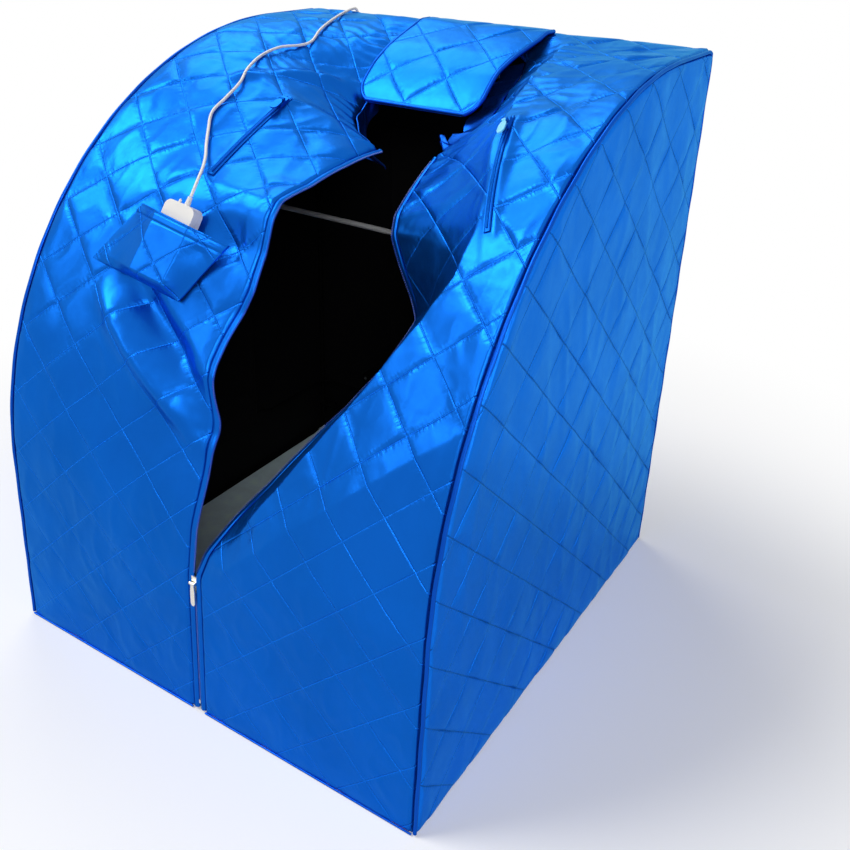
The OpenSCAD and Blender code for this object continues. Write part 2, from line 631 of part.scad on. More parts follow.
function hoop_path() = let(
    front_bend = [hoop_elbow_y, hoop_low_z + hoop_bend],
    top_bend = [hoop_back_y - hoop_bend, cabin_h - hoop_inset - hoop_bend],
    low_bend = [hoop_back_y - hoop_bend, hoop_low_z + hoop_bend])
    concat(bend(front_bend, hoop_bend, 270, 90 + front_angle), profile(hoop_inset),
        bend(top_bend, hoop_bend, 90, 0), bend(low_bend, hoop_bend, 0, -90));

module frame_hoop(x) tube(in_plane(x, hoop_path()), rod_r, hoop_sides, true);

module left_frame_hoop() color(black) frame_hoop(-hoop_x);
module right_frame_hoop() color(black) frame_hoop(hoop_x);

// Cross rods in saddles that straddle the hoops.
rod_half = saddle_end_x - rod_fit;
front_rod_yz = foot(bottom_rod_z / sin(front_angle)) - hoop_inset * outward(0);
saddle_places = [[hoop_back_y, back_top_z, 0], [hoop_back_y, bottom_rod_z, 0],
    [front_rod_yz[0], front_rod_yz[1], -front_lean]];

module cross_rod(y, z) translate([0, y, z]) along_x(rod_r, 2 * rod_half);

module saddle(y, z, lean)
    translate([0, y, z]) rotate([lean, 0, 0]) difference() {
        translate([saddle_end_x - saddle_bore_l, 0, 0]) rotate([0, 90, 0])
            cylinder(r = saddle_r, h = saddle_out_x - saddle_end_x + saddle_bore_l);
        translate([saddle_end_x - saddle_bore_l - 1, 0, 0]) rotate([0, 90, 0])
            cylinder(r = rod_r + rod_fit, h = saddle_bore_l + 1);
        translate([hoop_x, 0, -saddle_d]) cylinder(r = rod_r + rod_fit, h = 2 * saddle_d);
    }

module back_top_rod() color(steel) cross_rod(hoop_back_y, back_top_z);
module back_bottom_rod() color(steel) cross_rod(hoop_back_y, bottom_rod_z);
module front_bottom_rod() color(steel) cross_rod(front_rod_yz[0], front_rod_yz[1]);

module rod_saddles() color(black)
    for (p = saddle_places, side = [0, 1])
        mirror([side, 0, 0]) saddle(p[0], p[1], p[2]);

// The middle rod sits in cups riveted to the side linings.
cup_flange_r = 20;
cup_flange_t = 3;
rivet_r = 2;
rivet_head_r = 3.5;
rivet_head_t = 1;
rivet_ring_r = (cup_flange_r + saddle_r) / 2;
cup_seat_x = lining_in_x - seam_gap;
cup_end_x = cup_seat_x - cup_flange_t;

module cup_place(side) translate([0, middle_rod_y, middle_rod_z]) mirror([side, 0, 0]) children();

module middle_rod() color(steel)
    translate([0, middle_rod_y, middle_rod_z]) along_x(rod_r, 2 * (cup_end_x - rod_fit));

module middle_rod_cups() color(black)
    for (side = [0, 1]) cup_place(side) difference() {
        union() {
            translate([cup_end_x, 0, 0]) rotate([0, 90, 0]) cylinder(r = cup_flange_r, h = cup_flange_t);
            translate([cup_end_x - saddle_bore_l, 0, 0]) rotate([0, 90, 0])
                cylinder(r = saddle_r, h = saddle_bore_l + cup_flange_t / 2);
        }
        translate([cup_end_x - saddle_bore_l - 1, 0, 0]) rotate([0, 90, 0])
            cylinder(r = rod_r + rod_fit, h = saddle_bore_l + 1);
        for (turn = [45 : 90 : 315]) rotate([turn, 0, 0])
            translate([cup_end_x - 1, rivet_ring_r, 0]) rotate([0, 90, 0])
                cylinder(r = rivet_r + rod_fit, h = cup_flange_t + 2);
    }

module cup_rivets() color(steel)
    for (side = [0, 1]) cup_place(side)
        for (turn = [45 : 90 : 315]) rotate([turn, 0, 0])
            translate([cup_end_x, rivet_ring_r, 0]) rotate([0, 90, 0]) {
                cylinder(r = rivet_r, h = cup_flange_t);
                translate([0, 0, -rivet_head_t]) cylinder(r = rivet_head_r, h = rivet_head_t);
            }

// Flat heater panels on the linings, and the leads from the power box.
heater_z = 110;
side_heater_end_y = 170;
heater_x = lining_in_x - seam_gap - heater_t;
back_heater_z = 260;
lead_r = 2;
lead_z = box_z;
box_top_z = box_z + box_h / 2;
lead_x = hoop_x - rod_r - lead_r - 4;
lead_y = hoop_back_y - rod_r - lead_r - 4;
lead_bend = 30;

module side_heater(side)
    mirror([side, 0, 0]) translate([heater_x, side_heater_end_y - side_heater_l, heater_z])
        cube([heater_t, side_heater_l, heater_h]);

module left_heater_panel() color(black) side_heater(1);
module right_heater_panel() color(black) side_heater(0);
module back_heater_panel() color(black)
    translate([-back_heater_w / 2, back_lining_y - seam_gap - heater_t, back_heater_z])
        cube([back_heater_w, heater_t, heater_h]);

lead_sides = 8;

// A lead leaves the box along X, turns towards the front and ends at a heater panel's edge.
function lead_path(from_x) = let(pad_x = heater_x + heater_t / 2, pad_y = side_heater_end_y + seam_gap)
    [for (q = concat([[from_x, lead_y]], bend([lead_x - lead_bend, lead_y - lead_bend], lead_bend, 90, 0),
        [[lead_x, pad_y + lead_bend], [pad_x, pad_y + lead_bend / 2], [pad_x, pad_y]]))
        [q[0], q[1], lead_z]];

module heater_leads() color(black) {
    pad_y = back_lining_y - seam_gap - heater_t / 2;
    box_side = box_w / 2 + seam_gap;
    for (side = [0, 1])
        mirror([side, 0, 0])
            tube(lead_path((side == 0 ? box_x : -box_x) + box_side), lead_r, lead_sides, false);
    tube([[box_x, pad_y, box_top_z + seam_gap], [box_x, pad_y, back_heater_z - seam_gap]],
        lead_r, lead_sides, false);
}

box_seat_y = back_lining_y - seam_gap;
box_case_y = box_seat_y - box_t + box_wall;
board_t = 1.6;
box_screw_r = 2;
box_screw_in = 8;
box_boss_r = 4.5;
board_in = box_screw_in + box_boss_r + 1;
board_y = box_case_y + 4;
board_post_r = 3;
board_post_in = board_in + board_post_r;

module box_block(grow, y, t)
    translate([box_x - box_w / 2 + grow, y, box_z - box_h / 2 + grow])
        cube([box_w - 2 * grow, t, box_h - 2 * grow]);

module at_box_corners(in)
    for (dx = [-1, 1], dz = [-1, 1])
        translate([box_x + dx * (box_w / 2 - in), 0, box_z + dz * (box_h / 2 - in)]) children();

module at_box_screws() at_box_corners(box_screw_in) children();

module at_board_posts() at_box_corners(board_post_in) children();

module along_y(y, r, l) translate([0, y, 0]) rotate([-90, 0, 0]) cylinder(r = r, h = l);

module power_box_case() color(black) difference() {
    union() {
        difference() {
            box_block(0, box_case_y, box_seat_y - box_case_y);
            box_block(box_wall, box_case_y - 1, box_seat_y - box_case_y - box_wall + 1);
        }
        at_box_screws() along_y(box_case_y, box_boss_r, box_seat_y - box_case_y - box_wall / 2);
        at_board_posts()
            along_y(board_y + board_t, board_post_r, box_seat_y - board_y - board_t - box_wall / 2);
    }
    wall_holes(box_seat_y - box_wall, box_wall);
    at_box_screws() along_y(box_case_y - 1, box_screw_r + rod_fit, 13);
}

module power_box_cover() color(black) difference() {
    box_block(0, box_case_y - box_wall, box_wall);
    at_box_screws() along_y(box_case_y - box_wall - 1, box_screw_r + rod_fit, box_wall + 2);
}

module power_box_screws() color(steel)
    at_box_screws() {
        along_y(box_case_y - box_wall, box_screw_r, box_wall + 10);
        along_y(box_case_y - box_wall - 1.5, 1.8 * box_screw_r, 1.5);
    }

module power_circuit_board() color([0.05, 0.30, 0.12])
    box_block(board_in, board_y, board_t);

module mains_inlet() color(black) difference() {
    union() {
        translate([inlet_x - inlet_w / 2, box_seat_y - box_wall - 14, box_z - inlet_h / 2])
            cube([inlet_w, back_y - box_seat_y + box_wall + 14 + seam_gap, inlet_h]);
        translate([inlet_x - inlet_w / 2 - inlet_flange, back_y + seam_gap, box_z - inlet_h / 2 - 3])
            cube([inlet_w + 2 * inlet_flange, inlet_flange_t, inlet_h + 6]);
    }
    translate([inlet_x - inlet_w / 2 + 2, back_y - 15, box_z - inlet_h / 2 + 2])
        cube([inlet_w - 4, 30, inlet_h - 4]);
}

gland_y = back_y + seam_gap;
gland_axis_y = gland_y + gland_body[1] / 2;
gland_tip_z = box_z + gland_body[2] / 2 + gland_nose_l;

module cord_gland() color(white) {
    translate([gland_x - gland_body[0] / 2, gland_y, box_z - gland_body[2] / 2]) cube(gland_body);
    translate([gland_x, gland_y + 1, box_z]) rotate([90, 0, 0])
        cylinder(r = gland_stem_r, h = gland_y + 1 - box_seat_y + box_wall + 3);
    translate([gland_x, gland_axis_y, box_z + gland_body[2] / 2])
        cylinder(r1 = gland_nose_r, r2 = cord_d / 2 + 0.8, h = gland_nose_l);
}

// Pocket: a bulging pouch on the left half, open along its top.
pocket_x = -135;
pocket_s = zip_shut + 450;
pocket_turn = -8;
pocket_lift = 6;
handset_off = -11;
handset_back_z = pocket_lift;
handset_low_y = 20 - pocket_h / 2;
pocket_room = 5;
pocket_top_z = handset_back_z + handset_t + pocket_room;
pocket_flat = handset_w / 2 + 4;
pocket_shift = -12;
pocket_skew = 0.35;
pocket_fall = 1.3;
pocket_rise = 14;
pocket_rows = 10;
pocket_cols = 15;
handset_frame = front_frame(pocket_x, pocket_s, pocket_turn, pocket_h / 2, 0);

// The pocket's face stands over the handset, and falls to the panel at its sides and foot.
// Its foot lies to the left of its mouth.
function pocket_mid(v) = pocket_shift - pocket_skew * (pocket_h / 2 - v);
function pocket_way(u, v) = let(side = u > handset_off ? 1 : -1,
    run = pocket_w / 2 - pocket_flat + side * (pocket_mid(v) - handset_off))
    pow(clamp(1 - (abs(u - handset_off) - pocket_flat) / run), pocket_fall)
        * sqrt(clamp((v + pocket_h / 2) / pocket_rise));
function pocket_point(i, j, t) = let(
    v = i == 0 ? -pocket_h / 2 : mix(-pocket_h / 2, pocket_h / 2, (i + 0.5) / (pocket_rows - 0.5)),
    u = pocket_mid(v) + mix(-1, 1, j / (pocket_cols - 1)) * pocket_w / 2,
    base = on_front(pocket_x + u * cos(pocket_turn) - v * sin(pocket_turn),
        pocket_s + u * sin(pocket_turn) + v * cos(pocket_turn), pocket_lift),
    out = column(handset_frame, 2),
    low = (base - column(handset_frame, 3)) * out)
    base + out * (t + pocket_way(u, v) * max(0, pocket_top_z - low));

module handset_pocket() color(blue)
    sheet(pocket_rows, pocket_cols,
        function(i, j) pocket_point(i, j, pocket_t),
        function(i, j) pocket_point(i, j, 0));

// Handset: two shells with a round top, lying face out in the pocket.
handset_top_y = handset_low_y + handset_l;
handset_round = 0.2 * handset_w;
handset_split = handset_t / 2;
handset_boss_r = 3.5;
handset_screw_r = 1.4;
handset_screw_in = 17;
display_w = 40;
display_h = 24;
display_t = 1.2;
display_y = handset_top_y - 48;
button_y = handset_low_y + 30;
button_step = 14;
button_flange = 1.5;
nub_x = handset_off - 12;
relief_x = handset_off + 2;
relief_l = 13;
relief_r = 4.3;

module in_handset() multmatrix(handset_frame) translate([0, 0, handset_back_z]) children();

module handset_outline(grow) {
    round_r = handset_round + grow;
    in_x = handset_w / 2 - handset_round;
    in_y = handset_l / 2 - handset_round;
    translate([handset_off, handset_low_y + handset_l / 2]) {
        square([2 * (in_x + round_r), 2 * in_y], center = true);
        square([2 * in_x, 2 * (in_y + round_r)], center = true);
        for (dx = [-1, 1], dy = [-1, 1]) translate([dx * in_x, dy * in_y]) circle(r = round_r);
    }
}

module at_handset_screws()
    for (dx = [-1, 1], y = [handset_low_y + handset_screw_in, handset_top_y - handset_round])
        translate([handset_off + dx * (handset_w / 2 - handset_screw_in / 2), y, 0]) children();

module at_button(k) translate([handset_off + k * button_step, button_y, handset_t]) children();

module end_holes()
    for (p = [[relief_x, relief_r], [nub_x, relief_r / 2]])
        translate([p[0], 0, handset_split]) rotate([-90, 0, 0])
            cylinder(r = p[1] + slide_gap, h = handset_l);

module handset_rear_shell() color(white) in_handset() difference() {
    union() {
        difference() {
            linear_extrude(handset_split - slide_gap / 2) handset_outline(0);
            translate([0, 0, handset_wall]) linear_extrude(handset_t) handset_outline(-handset_wall);
        }
        at_handset_screws() cylinder(r = handset_boss_r, h = handset_split - slide_gap / 2);
    }
    at_handset_screws() translate([0, 0, -1]) cylinder(r = handset_screw_r + rod_fit, h = handset_t);
    end_holes();
}

module handset_front_shell() color(white) in_handset() difference() {
    union() {
        difference() {
            translate([0, 0, handset_split + slide_gap / 2])
                linear_extrude(handset_split - slide_gap / 2) handset_outline(0);
            linear_extrude(handset_t - handset_wall) handset_outline(-handset_wall);
        }
        at_handset_screws() translate([0, 0, handset_split + slide_gap / 2])
            cylinder(r = handset_boss_r, h = handset_split - slide_gap);
    }
    at_handset_screws() cylinder(r = handset_screw_r + rod_fit, h = handset_split + 7);
    translate([handset_off - display_w / 2, display_y - display_h / 2, handset_t - display_t])
        cube([display_w, display_h, handset_t]);
    for (k = [-1 : 1]) at_button(k) translate([0, 0, -handset_wall - 1])
        cylinder(r = button_d / 2 + slide_gap, h = handset_wall + 2);
    end_holes();
}

window = [display_w - 2 * slide_gap, display_h - 2 * slide_gap, display_t - 0.2];

module handset_display() color([0.02, 0.03, 0.04]) in_handset()
    translate([handset_off - window[0] / 2, display_y - window[1] / 2, handset_t - display_t]) cube(window);

module handset_circuit_board() color([0.05, 0.30, 0.12]) in_handset()
    difference() {
        translate([0, 0, handset_split - board_t / 2]) linear_extrude(board_t) intersection() {
            handset_outline(-handset_wall - 0.5);
            translate([handset_off - handset_w, handset_low_y]) square([2 * handset_w, handset_l - 26]);
        }
        at_handset_screws() cylinder(r = handset_boss_r + 0.5, h = handset_t);
    }

module handset_screws() color(steel) in_handset()
    at_handset_screws() {
        cylinder(r = handset_screw_r, h = handset_split + 6);
        translate([0, 0, -1]) cylinder(r = 2 * handset_screw_r, h = 1);
    }

relief_seat = 6;

module handset_strain_relief() color(white) in_handset()
    translate([relief_x, handset_top_y - relief_seat, handset_split]) rotate([-90, 0, 0]) {
        cylinder(r = relief_r, h = relief_seat);
        translate([0, 0, relief_seat]) cylinder(r1 = relief_r, r2 = cord_d / 2 + 1, h = relief_l);
    }

module handset_hang_nub() color(white) in_handset()
    translate([nub_x, handset_top_y - relief_seat, handset_split]) rotate([-90, 0, 0]) {
        cylinder(r = relief_r / 2, h = relief_seat + 3);
        translate([0, 0, relief_seat + 3]) sphere(r = relief_r / 2);
    }

// A button: a cap that stands proud, on a flange that keeps it in the shell.
button_proud = button_travel + 0.5;

module handset_button(k) in_handset() at_button(k) {
    translate([0, 0, -handset_wall - slide_gap - 0.1])
        cylinder(r = button_d / 2, h = handset_wall + slide_gap + 0.1 + button_proud);
    translate([0, 0, -handset_wall - slide_gap - button_flange])
        cylinder(r = button_d / 2 + 1.2, h = button_flange);
}

module power_button() color([0.75, 0.12, 0.10]) handset_button(-1);
module warmer_button() color([0.25, 0.27, 0.30]) handset_button(0);
module cooler_button() color([0.25, 0.27, 0.30]) handset_button(1);

// Handset cord: out of the strain relief, over the left half and the top, down the back
// and into the gland. Its free points are chosen by hand.
relief_tip = placed(handset_frame, [relief_x, handset_top_y + relief_l, handset_back_z + handset_split]);
relief_way = column(handset_frame, 1);
gland_tip = [gland_x, gland_axis_y, gland_tip_z];
cord_route = [[-131, -200, 772], [-147, -174, 780], [-168, -146, 788], [-186, -125, 798],
    [-205, -100, 813], [-225, -69, 833], [-228, -35, 849], [-233, 5, 867], [-250, 44, 883],
    [-263, 94, 897], [-263, 141, 905], [-249, 177, 906], [-243, 202, 911], [-256, 244, 926],
    [-276, 315, 939], [-300, 396, 946], [-300, 411, 943], [-301, 416, 930], [-301, 416, 880],
    [-294, 416, 760], [-268, 416, 580], [-236, 416, 400], [-214, 416, 270]];
cord_ends = concat([relief_tip + 2 * seam_gap * relief_way, relief_tip + 10 * relief_way], cord_route,
    [gland_tip + [0, 0, 16], gland_tip + [0, 0, 2 * seam_gap]]);
cord_steps = 3;
cord_sides = 8;

function curve_point(p, k, t) = let(
    a = p[max(0, k - 1)], b = p[k], c = p[k + 1], d = p[min(len(p) - 1, k + 2)])
    0.5 * (2 * b + (c - a) * t + (2 * a - 5 * b + 4 * c - d) * t * t + (3 * b - a - 3 * c + d) * t * t * t);
function curve(p) = concat(
    [for (k = [0 : len(p) - 2], i = [0 : cord_steps - 1]) curve_point(p, k, i / cord_steps)],
    [p[len(p) - 1]]);
function tangents(p, ring) = let(n = len(p)) [for (k = [0 : n - 1])
    unit(p[ring ? (k + 1) % n : min(n - 1, k + 1)] - p[ring ? (k + n - 1) % n : max(0, k - 1)])];
function carried(t, v, k) = k == len(t) ? []
    : let(w = unit(v - (v * t[k]) * t[k])) concat([w], carried(t, w, k + 1));

module tube(p, r, sides, ring) {
    t = tangents(p, ring);
    side_way = carried(t, abs(t[0][0]) > 0.9 ? [0, 1, 0] : [1, 0, 0], 0);
    points = [for (k = [0 : len(p) - 1], j = [0 : sides - 1])
        let(a = 360 * j / sides, up = cross(t[k], side_way[k]))
        p[k] + r * (cos(a) * side_way[k] + sin(a) * up)];
    skin = [for (k = [0 : len(p) - (ring ? 1 : 2)], j = [0 : sides - 1])
        let(m = (k + 1) % len(p), n = (j + 1) % sides)
        [k * sides + j, k * sides + n, m * sides + n, m * sides + j]];
    last = (len(p) - 1) * sides;
    caps = ring ? [] : [[for (j = [0 : sides - 1]) j], [for (j = [sides - 1 : -1 : 0]) last + j]];
    faces = concat([for (q = skin) [q[0], q[2], q[1]]], [for (q = skin) [q[0], q[3], q[2]]], caps);
    polyhedron(points = points, faces = faces, convexity = 10);
}

module handset_cord() color(white) tube(curve(cord_ends), cord_d / 2, cord_sides, false);

left_side_panel();
right_side_panel();
back_panel();
front_left_panel();
front_right_panel();
left_seam_piping();
right_seam_piping();
left_lining();
right_lining();
back_lining();
left_heater_panel();
right_heater_panel();
back_heater_panel();
heater_leads();
floor_sheet();
left_frame_hoop();
right_frame_hoop();
back_top_rod();
back_bottom_rod();
front_bottom_rod();
middle_rod();
rod_saddles();
middle_rod_cups();
cup_rivets();
neck_flap();
left_neck_collar();
right_neck_collar();
front_zip_left_tape();
front_zip_right_tape();
front_zip_chain();
front_zip_stop();
front_zip_slider();
front_zip_pull();
left_arm_zip();
left_arm_zip_slider();
left_arm_zip_pull();
right_arm_zip();
right_arm_zip_slider();
right_arm_zip_pull();
handset_pocket();
handset_front_shell();
handset_rear_shell();
handset_display();
handset_circuit_board();
handset_screws();
handset_strain_relief();
handset_hang_nub();
power_button();
warmer_button();
cooler_button();
handset_cord();
cord_gland();
power_box_case();
power_box_cover();
power_box_screws();
power_circuit_board();
mains_inlet();
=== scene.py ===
"""Looks of a one-person heated sauna tent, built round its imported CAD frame."""
import math

import bmesh
import bpy
import numpy as np
from bpy.props import FloatProperty, FloatVectorProperty, IntProperty, PointerProperty
from mathutils import Matrix, Vector, noise


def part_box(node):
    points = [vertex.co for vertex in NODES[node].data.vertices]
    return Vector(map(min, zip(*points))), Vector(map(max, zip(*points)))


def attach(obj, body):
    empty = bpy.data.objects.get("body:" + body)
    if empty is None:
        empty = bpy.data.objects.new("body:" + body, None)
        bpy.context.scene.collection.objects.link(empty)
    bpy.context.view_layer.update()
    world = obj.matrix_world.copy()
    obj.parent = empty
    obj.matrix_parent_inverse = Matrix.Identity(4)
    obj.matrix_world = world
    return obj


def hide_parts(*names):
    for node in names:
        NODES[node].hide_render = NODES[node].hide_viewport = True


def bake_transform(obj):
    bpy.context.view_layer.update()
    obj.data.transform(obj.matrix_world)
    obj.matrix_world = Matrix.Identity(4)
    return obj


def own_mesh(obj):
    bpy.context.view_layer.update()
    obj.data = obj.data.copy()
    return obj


bl_info = {
    "name": "Heated sauna tent",
    "version": (1, 0, 0),
    "blender": (4, 5, 0),
    "location": "View3D > Sidebar > Sauna tent",
    "description": "Quilted cloth, trim, hardware and stage of a one-person heated tent",
    "category": "Object",
}

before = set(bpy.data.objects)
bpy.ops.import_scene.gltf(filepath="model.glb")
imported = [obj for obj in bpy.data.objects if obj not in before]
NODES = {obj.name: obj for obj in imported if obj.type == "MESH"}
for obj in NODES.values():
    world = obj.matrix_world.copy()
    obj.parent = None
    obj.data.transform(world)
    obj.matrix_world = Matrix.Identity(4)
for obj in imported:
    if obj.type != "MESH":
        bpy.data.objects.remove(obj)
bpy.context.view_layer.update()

# Side profile, in metres: s runs up the leaning front, over one arc and along the flat top.
WIDTH, DEPTH, HEIGHT = 0.800, 0.820, 0.940
LEAN = math.radians(3)
STRAIGHT = 0.310
FRONT_ANGLE = math.pi / 2 - LEAN
ARC_R = (HEIGHT - STRAIGHT * math.sin(FRONT_ANGLE)) / (1 - math.cos(FRONT_ANGLE))
ARC_Y = -DEPTH / 2 + STRAIGHT * math.cos(FRONT_ANGLE) + ARC_R * math.sin(FRONT_ANGLE)
ARC_Z = HEIGHT - ARC_R
S_ARC = STRAIGHT + ARC_R * FRONT_ANGLE
S_ALL = S_ARC + DEPTH / 2 - ARC_Y
ZIP_SHUT = 0.250
NECK_L = 0.385
ZIP_TOP = S_ALL - NECK_L
QUILT = 0.008
GAP = 0.0003
SEAM_X = WIDTH / 2 - QUILT - GAP
PIPING_R = 0.003
GROOVE = 2 * PIPING_R + GAP
TAPE_W = 0.010
TABLE_STEP, TABLE_PAST = 0.001, 0.05


def table(low, high, blur=0.012):
    """A size along the front from stations in millimetres past the zip's shut end and its top."""
    rows = [(ZIP_SHUT + s / 1000, v / 1000) for s, v in low]
    rows += [(ZIP_TOP + s / 1000, v / 1000) for s, v in high]
    at, value = np.array(rows).T
    fine = np.arange(-TABLE_PAST, S_ALL + TABLE_PAST, TABLE_STEP)
    span = int(blur / TABLE_STEP)
    weight = np.hanning(2 * span + 3)
    laid = np.pad(np.interp(fine, at, value), span + 1, mode="edge")
    soft = np.convolve(laid, weight / weight.sum(), "valid")
    return lambda s: np.interp(s, fine, soft)


left_zip_x = table([(-250, -1.8), (235, -1.8), (280, -13), (320, -18), (360, -16), (400, -10), (440, -1.8)],
                   [(0, -1.8)])
left_neck_x = table([], [(0, -12), (10, -30), (35, -70), (75, -100), (125, -118), (200, -122), (255, -118),
                         (311, -95), (335, -60), (350, -0.3), (385, -0.3)], 0.004)
left_sag = table([(-250, 0), (0, 0), (75, 10), (135, 27), (180, 38), (220, 42), (260, 28), (300, 24),
                  (355, 34), (405, 42), (500, 30), (548, 12), (576, 11), (633, 47)],
                 [(-105, 84), (0, 122), (35, 115), (75, 110), (125, 112), (155, 102), (200, 76), (255, 48),
                  (311, 26), (350, 10), (369, 0)])
right_zip_x = table([(-250, 1.8), (0, 1.8), (40, 11), (90, 34), (150, 64), (220, 91), (300, 118), (390, 140),
                     (470, 149), (520, 152), (547, 153), (584, 136), (623, 115), (659, 108), (725, 102)],
                    [(0, 90)])
right_neck_x = table([], [(0, 90), (10, 105), (35, 122), (75, 130), (125, 132), (190, 131), (255, 128),
                          (311, 108), (335, 70), (350, 0.3), (385, 0.3)], 0.004)
right_sag = table([(-250, 0), (0, 0), (40, 15), (90, 50), (150, 90), (220, 130), (300, 170), (390, 200),
                   (470, 215), (520, 222), (547, 180), (584, 142), (623, 118), (659, 109), (725, 113)],
                  [(0, 122), (10, 112), (35, 104), (75, 102), (125, 106), (155, 96), (200, 78), (255, 58),
                   (311, 36), (350, 12), (369, 0)])
ridge_x = table([(-250, 45), (0, 45), (61, 54), (138, 98), (193, 132), (252, 167), (308, 199), (370, 234),
                 (459, 272), (530, 300), (600, 300), (668, 284)],
                [(-65, 246), (75, 215), (255, 185), (385, 170)])
ridge_sag = table([(-250, 0), (20, 0), (100, 15), (193, 27), (308, 29), (459, 23), (530, 14), (668, 12)],
                  [(-65, 16), (75, 28), (255, 16), (369, 0)])
flap_sag = table([], [(110, 112), (125, 106), (145, 92), (200, 57), (255, 31), (311, 11), (345, 0), (385, 0)])


def clamp(t):
    return np.clip(t, 0.0, 1.0)


def mix(a, b, t):
    return a + (b - a) * t


def slope(s):
    return np.where(s < STRAIGHT, FRONT_ANGLE, np.where(s < S_ARC, FRONT_ANGLE - (s - STRAIGHT) / ARC_R, 0.0))


def on_profile(x, s, n):
    """The point at x across and s along the profile, n outside it."""
    s = np.asarray(s, float)
    a = slope(s)
    y = np.where(s < STRAIGHT, -DEPTH / 2 + s * math.cos(FRONT_ANGLE),
                 np.where(s < S_ARC, ARC_Y - ARC_R * np.sin(a), ARC_Y + s - S_ARC))
    z = np.where(s < STRAIGHT, s * math.sin(FRONT_ANGLE),
                 np.where(s < S_ARC, ARC_Z + ARC_R * np.cos(a), HEIGHT))
    return np.stack(np.broadcast_arrays(x, y - n * np.sin(a), z + n * np.cos(a)), -1)


# The left half's slanting fold: where it starts, its turn, its reach, its ridge and valley, and how it dies
# away at the sides. SAG_POWER is the curve of the cloth from the seam to the hanging edge.
FOLD_X, FOLD_S, FOLD_TURN = -0.300, ZIP_SHUT + 0.416, math.radians(-38)
FOLD_FROM, FOLD_TO, FOLD_FADE = 0.090, 0.400, 0.080
FOLD_STEP, FOLD_HALF, RIDGE_H, VALLEY_H = 0.052, 0.020, 0.016, 0.020
FOLD_AT_EDGE, FOLD_SIDE, SAG_POWER = 0.35, 0.060, 1.8
# The right half's slanting crease, the curve of the cloth that hangs from it, and where the shut zip lets it
# start.
CREASE_LEAST, CREASE_BELOW, CREASE_RATE = 0.010, 0.022, 1.05
HANG_POWER, HANG_FROM, HANG_FADE = 0.85, 0.05, 0.07
TAPE_PAST_TOP = 0.02


def left_panel_edge(s):
    return np.where(s <= ZIP_TOP, left_zip_x(s) - TAPE_W - GAP, left_neck_x(s))


def right_panel_edge(s):
    zip_side = right_zip_x(s) + TAPE_W + GAP
    neck_side = np.maximum(right_neck_x(s), np.where(s < ZIP_TOP + TAPE_PAST_TOP, zip_side, 0))
    return np.where(s <= ZIP_TOP, zip_side, neck_side)


def right_edge(s):
    return np.where(s <= ZIP_TOP, right_zip_x(s), right_neck_x(s))


def left_depth(x, s):
    along = (x - FOLD_X) * math.cos(FOLD_TURN) + (s - FOLD_S) * math.sin(FOLD_TURN)
    across = -(x - FOLD_X) * math.sin(FOLD_TURN) + (s - FOLD_S) * math.cos(FOLD_TURN)
    reach = clamp((along - FOLD_FROM) / FOLD_FADE + 0.5) * clamp((FOLD_TO - along) / FOLD_FADE + 0.5)
    fold = reach * (VALLEY_H * np.exp(-((across - FOLD_STEP) / FOLD_HALF) ** 2)
                    - RIDGE_H * np.exp(-(across / FOLD_HALF) ** 2))
    fold = fold * mix(FOLD_AT_EDGE, 1.0, clamp((left_panel_edge(s) - x) / FOLD_SIDE))
    fold = fold * clamp((x + SEAM_X) / FOLD_SIDE)
    hang = clamp((x + SEAM_X) / (left_panel_edge(s) + SEAM_X))
    return left_sag(s) * hang ** SAG_POWER + fold


def right_depth(x, s):
    rx, rd = ridge_x(s), ridge_sag(s)
    end = np.minimum(SEAM_X, np.maximum(rx + CREASE_LEAST, (s - ZIP_SHUT + CREASE_BELOW) * CREASE_RATE))
    shoulder = rd * clamp((end - x) / (end - rx))
    hanging = mix(rd, right_sag(s), clamp((rx - x) / (rx - right_edge(s))) ** HANG_POWER)
    near_zip = right_sag(s) * clamp((end - x) / (end - right_edge(s)))
    return mix(near_zip, np.where(x >= rx, shoulder, hanging), clamp((s - ZIP_SHUT - HANG_FROM) / HANG_FADE))


def depth(x, s):
    return np.where(x < 0, left_depth(x, s), right_depth(x, s))


def on_front(x, s, n):
    """A point that stands n above a front half."""
    return on_profile(x, s, n - depth(x, s))


def front_frame(x, s, turn, reach, lift):
    """Across, up, out and origin of a flat frame on a front half."""
    dx, ds = -math.sin(turn) * reach, math.cos(turn) * reach
    up = on_front(x + dx, s + ds, 0) - on_front(x - dx, s - ds, 0)
    up /= np.linalg.norm(up)
    out = np.cross(on_front(x + reach / 3, s, 0) - on_front(x - reach / 3, s, 0), up)
    out /= np.linalg.norm(out)
    return np.cross(up, out), up, out, on_front(x, s, 0) + lift * out


# Quilting: stitch lines lie where either lattice coordinate is whole. A cloth lies calm and rolls down by its
# edges.
TILT_CELLS = 64
TILTS = np.random.default_rng(11).uniform(-1, 1, (2, TILT_CELLS, TILT_CELLS))
STITCH_SOFT = 0.06
EDGE_CALM, EDGE_ROLL = 0.020, 0.004


def lattice(a, b, settings, shift):
    """Lattice coordinates of a point of the flat cloth, a across and b along."""
    p, q = a / settings.diamond_w, b / settings.diamond_h
    return p + q - shift[0], p - q - shift[1]


def pillow(p, q, settings):
    """Height of the padding over its stitch lines, with a lean of its own for each diamond."""
    i, j = np.floor(p), np.floor(q)
    u, v = p - i - 0.5, q - j - 0.5
    rise = (1 - np.exp((np.abs(u) - 0.5) / STITCH_SOFT)) * (1 - np.exp((np.abs(v) - 0.5) / STITCH_SOFT))
    row, column = i.astype(int) % TILT_CELLS, j.astype(int) % TILT_CELLS
    lean = TILTS[0, row, column] * u + TILTS[1, row, column] * v
    return settings.puff * rise + settings.facet * rise * lean - settings.stitch_in


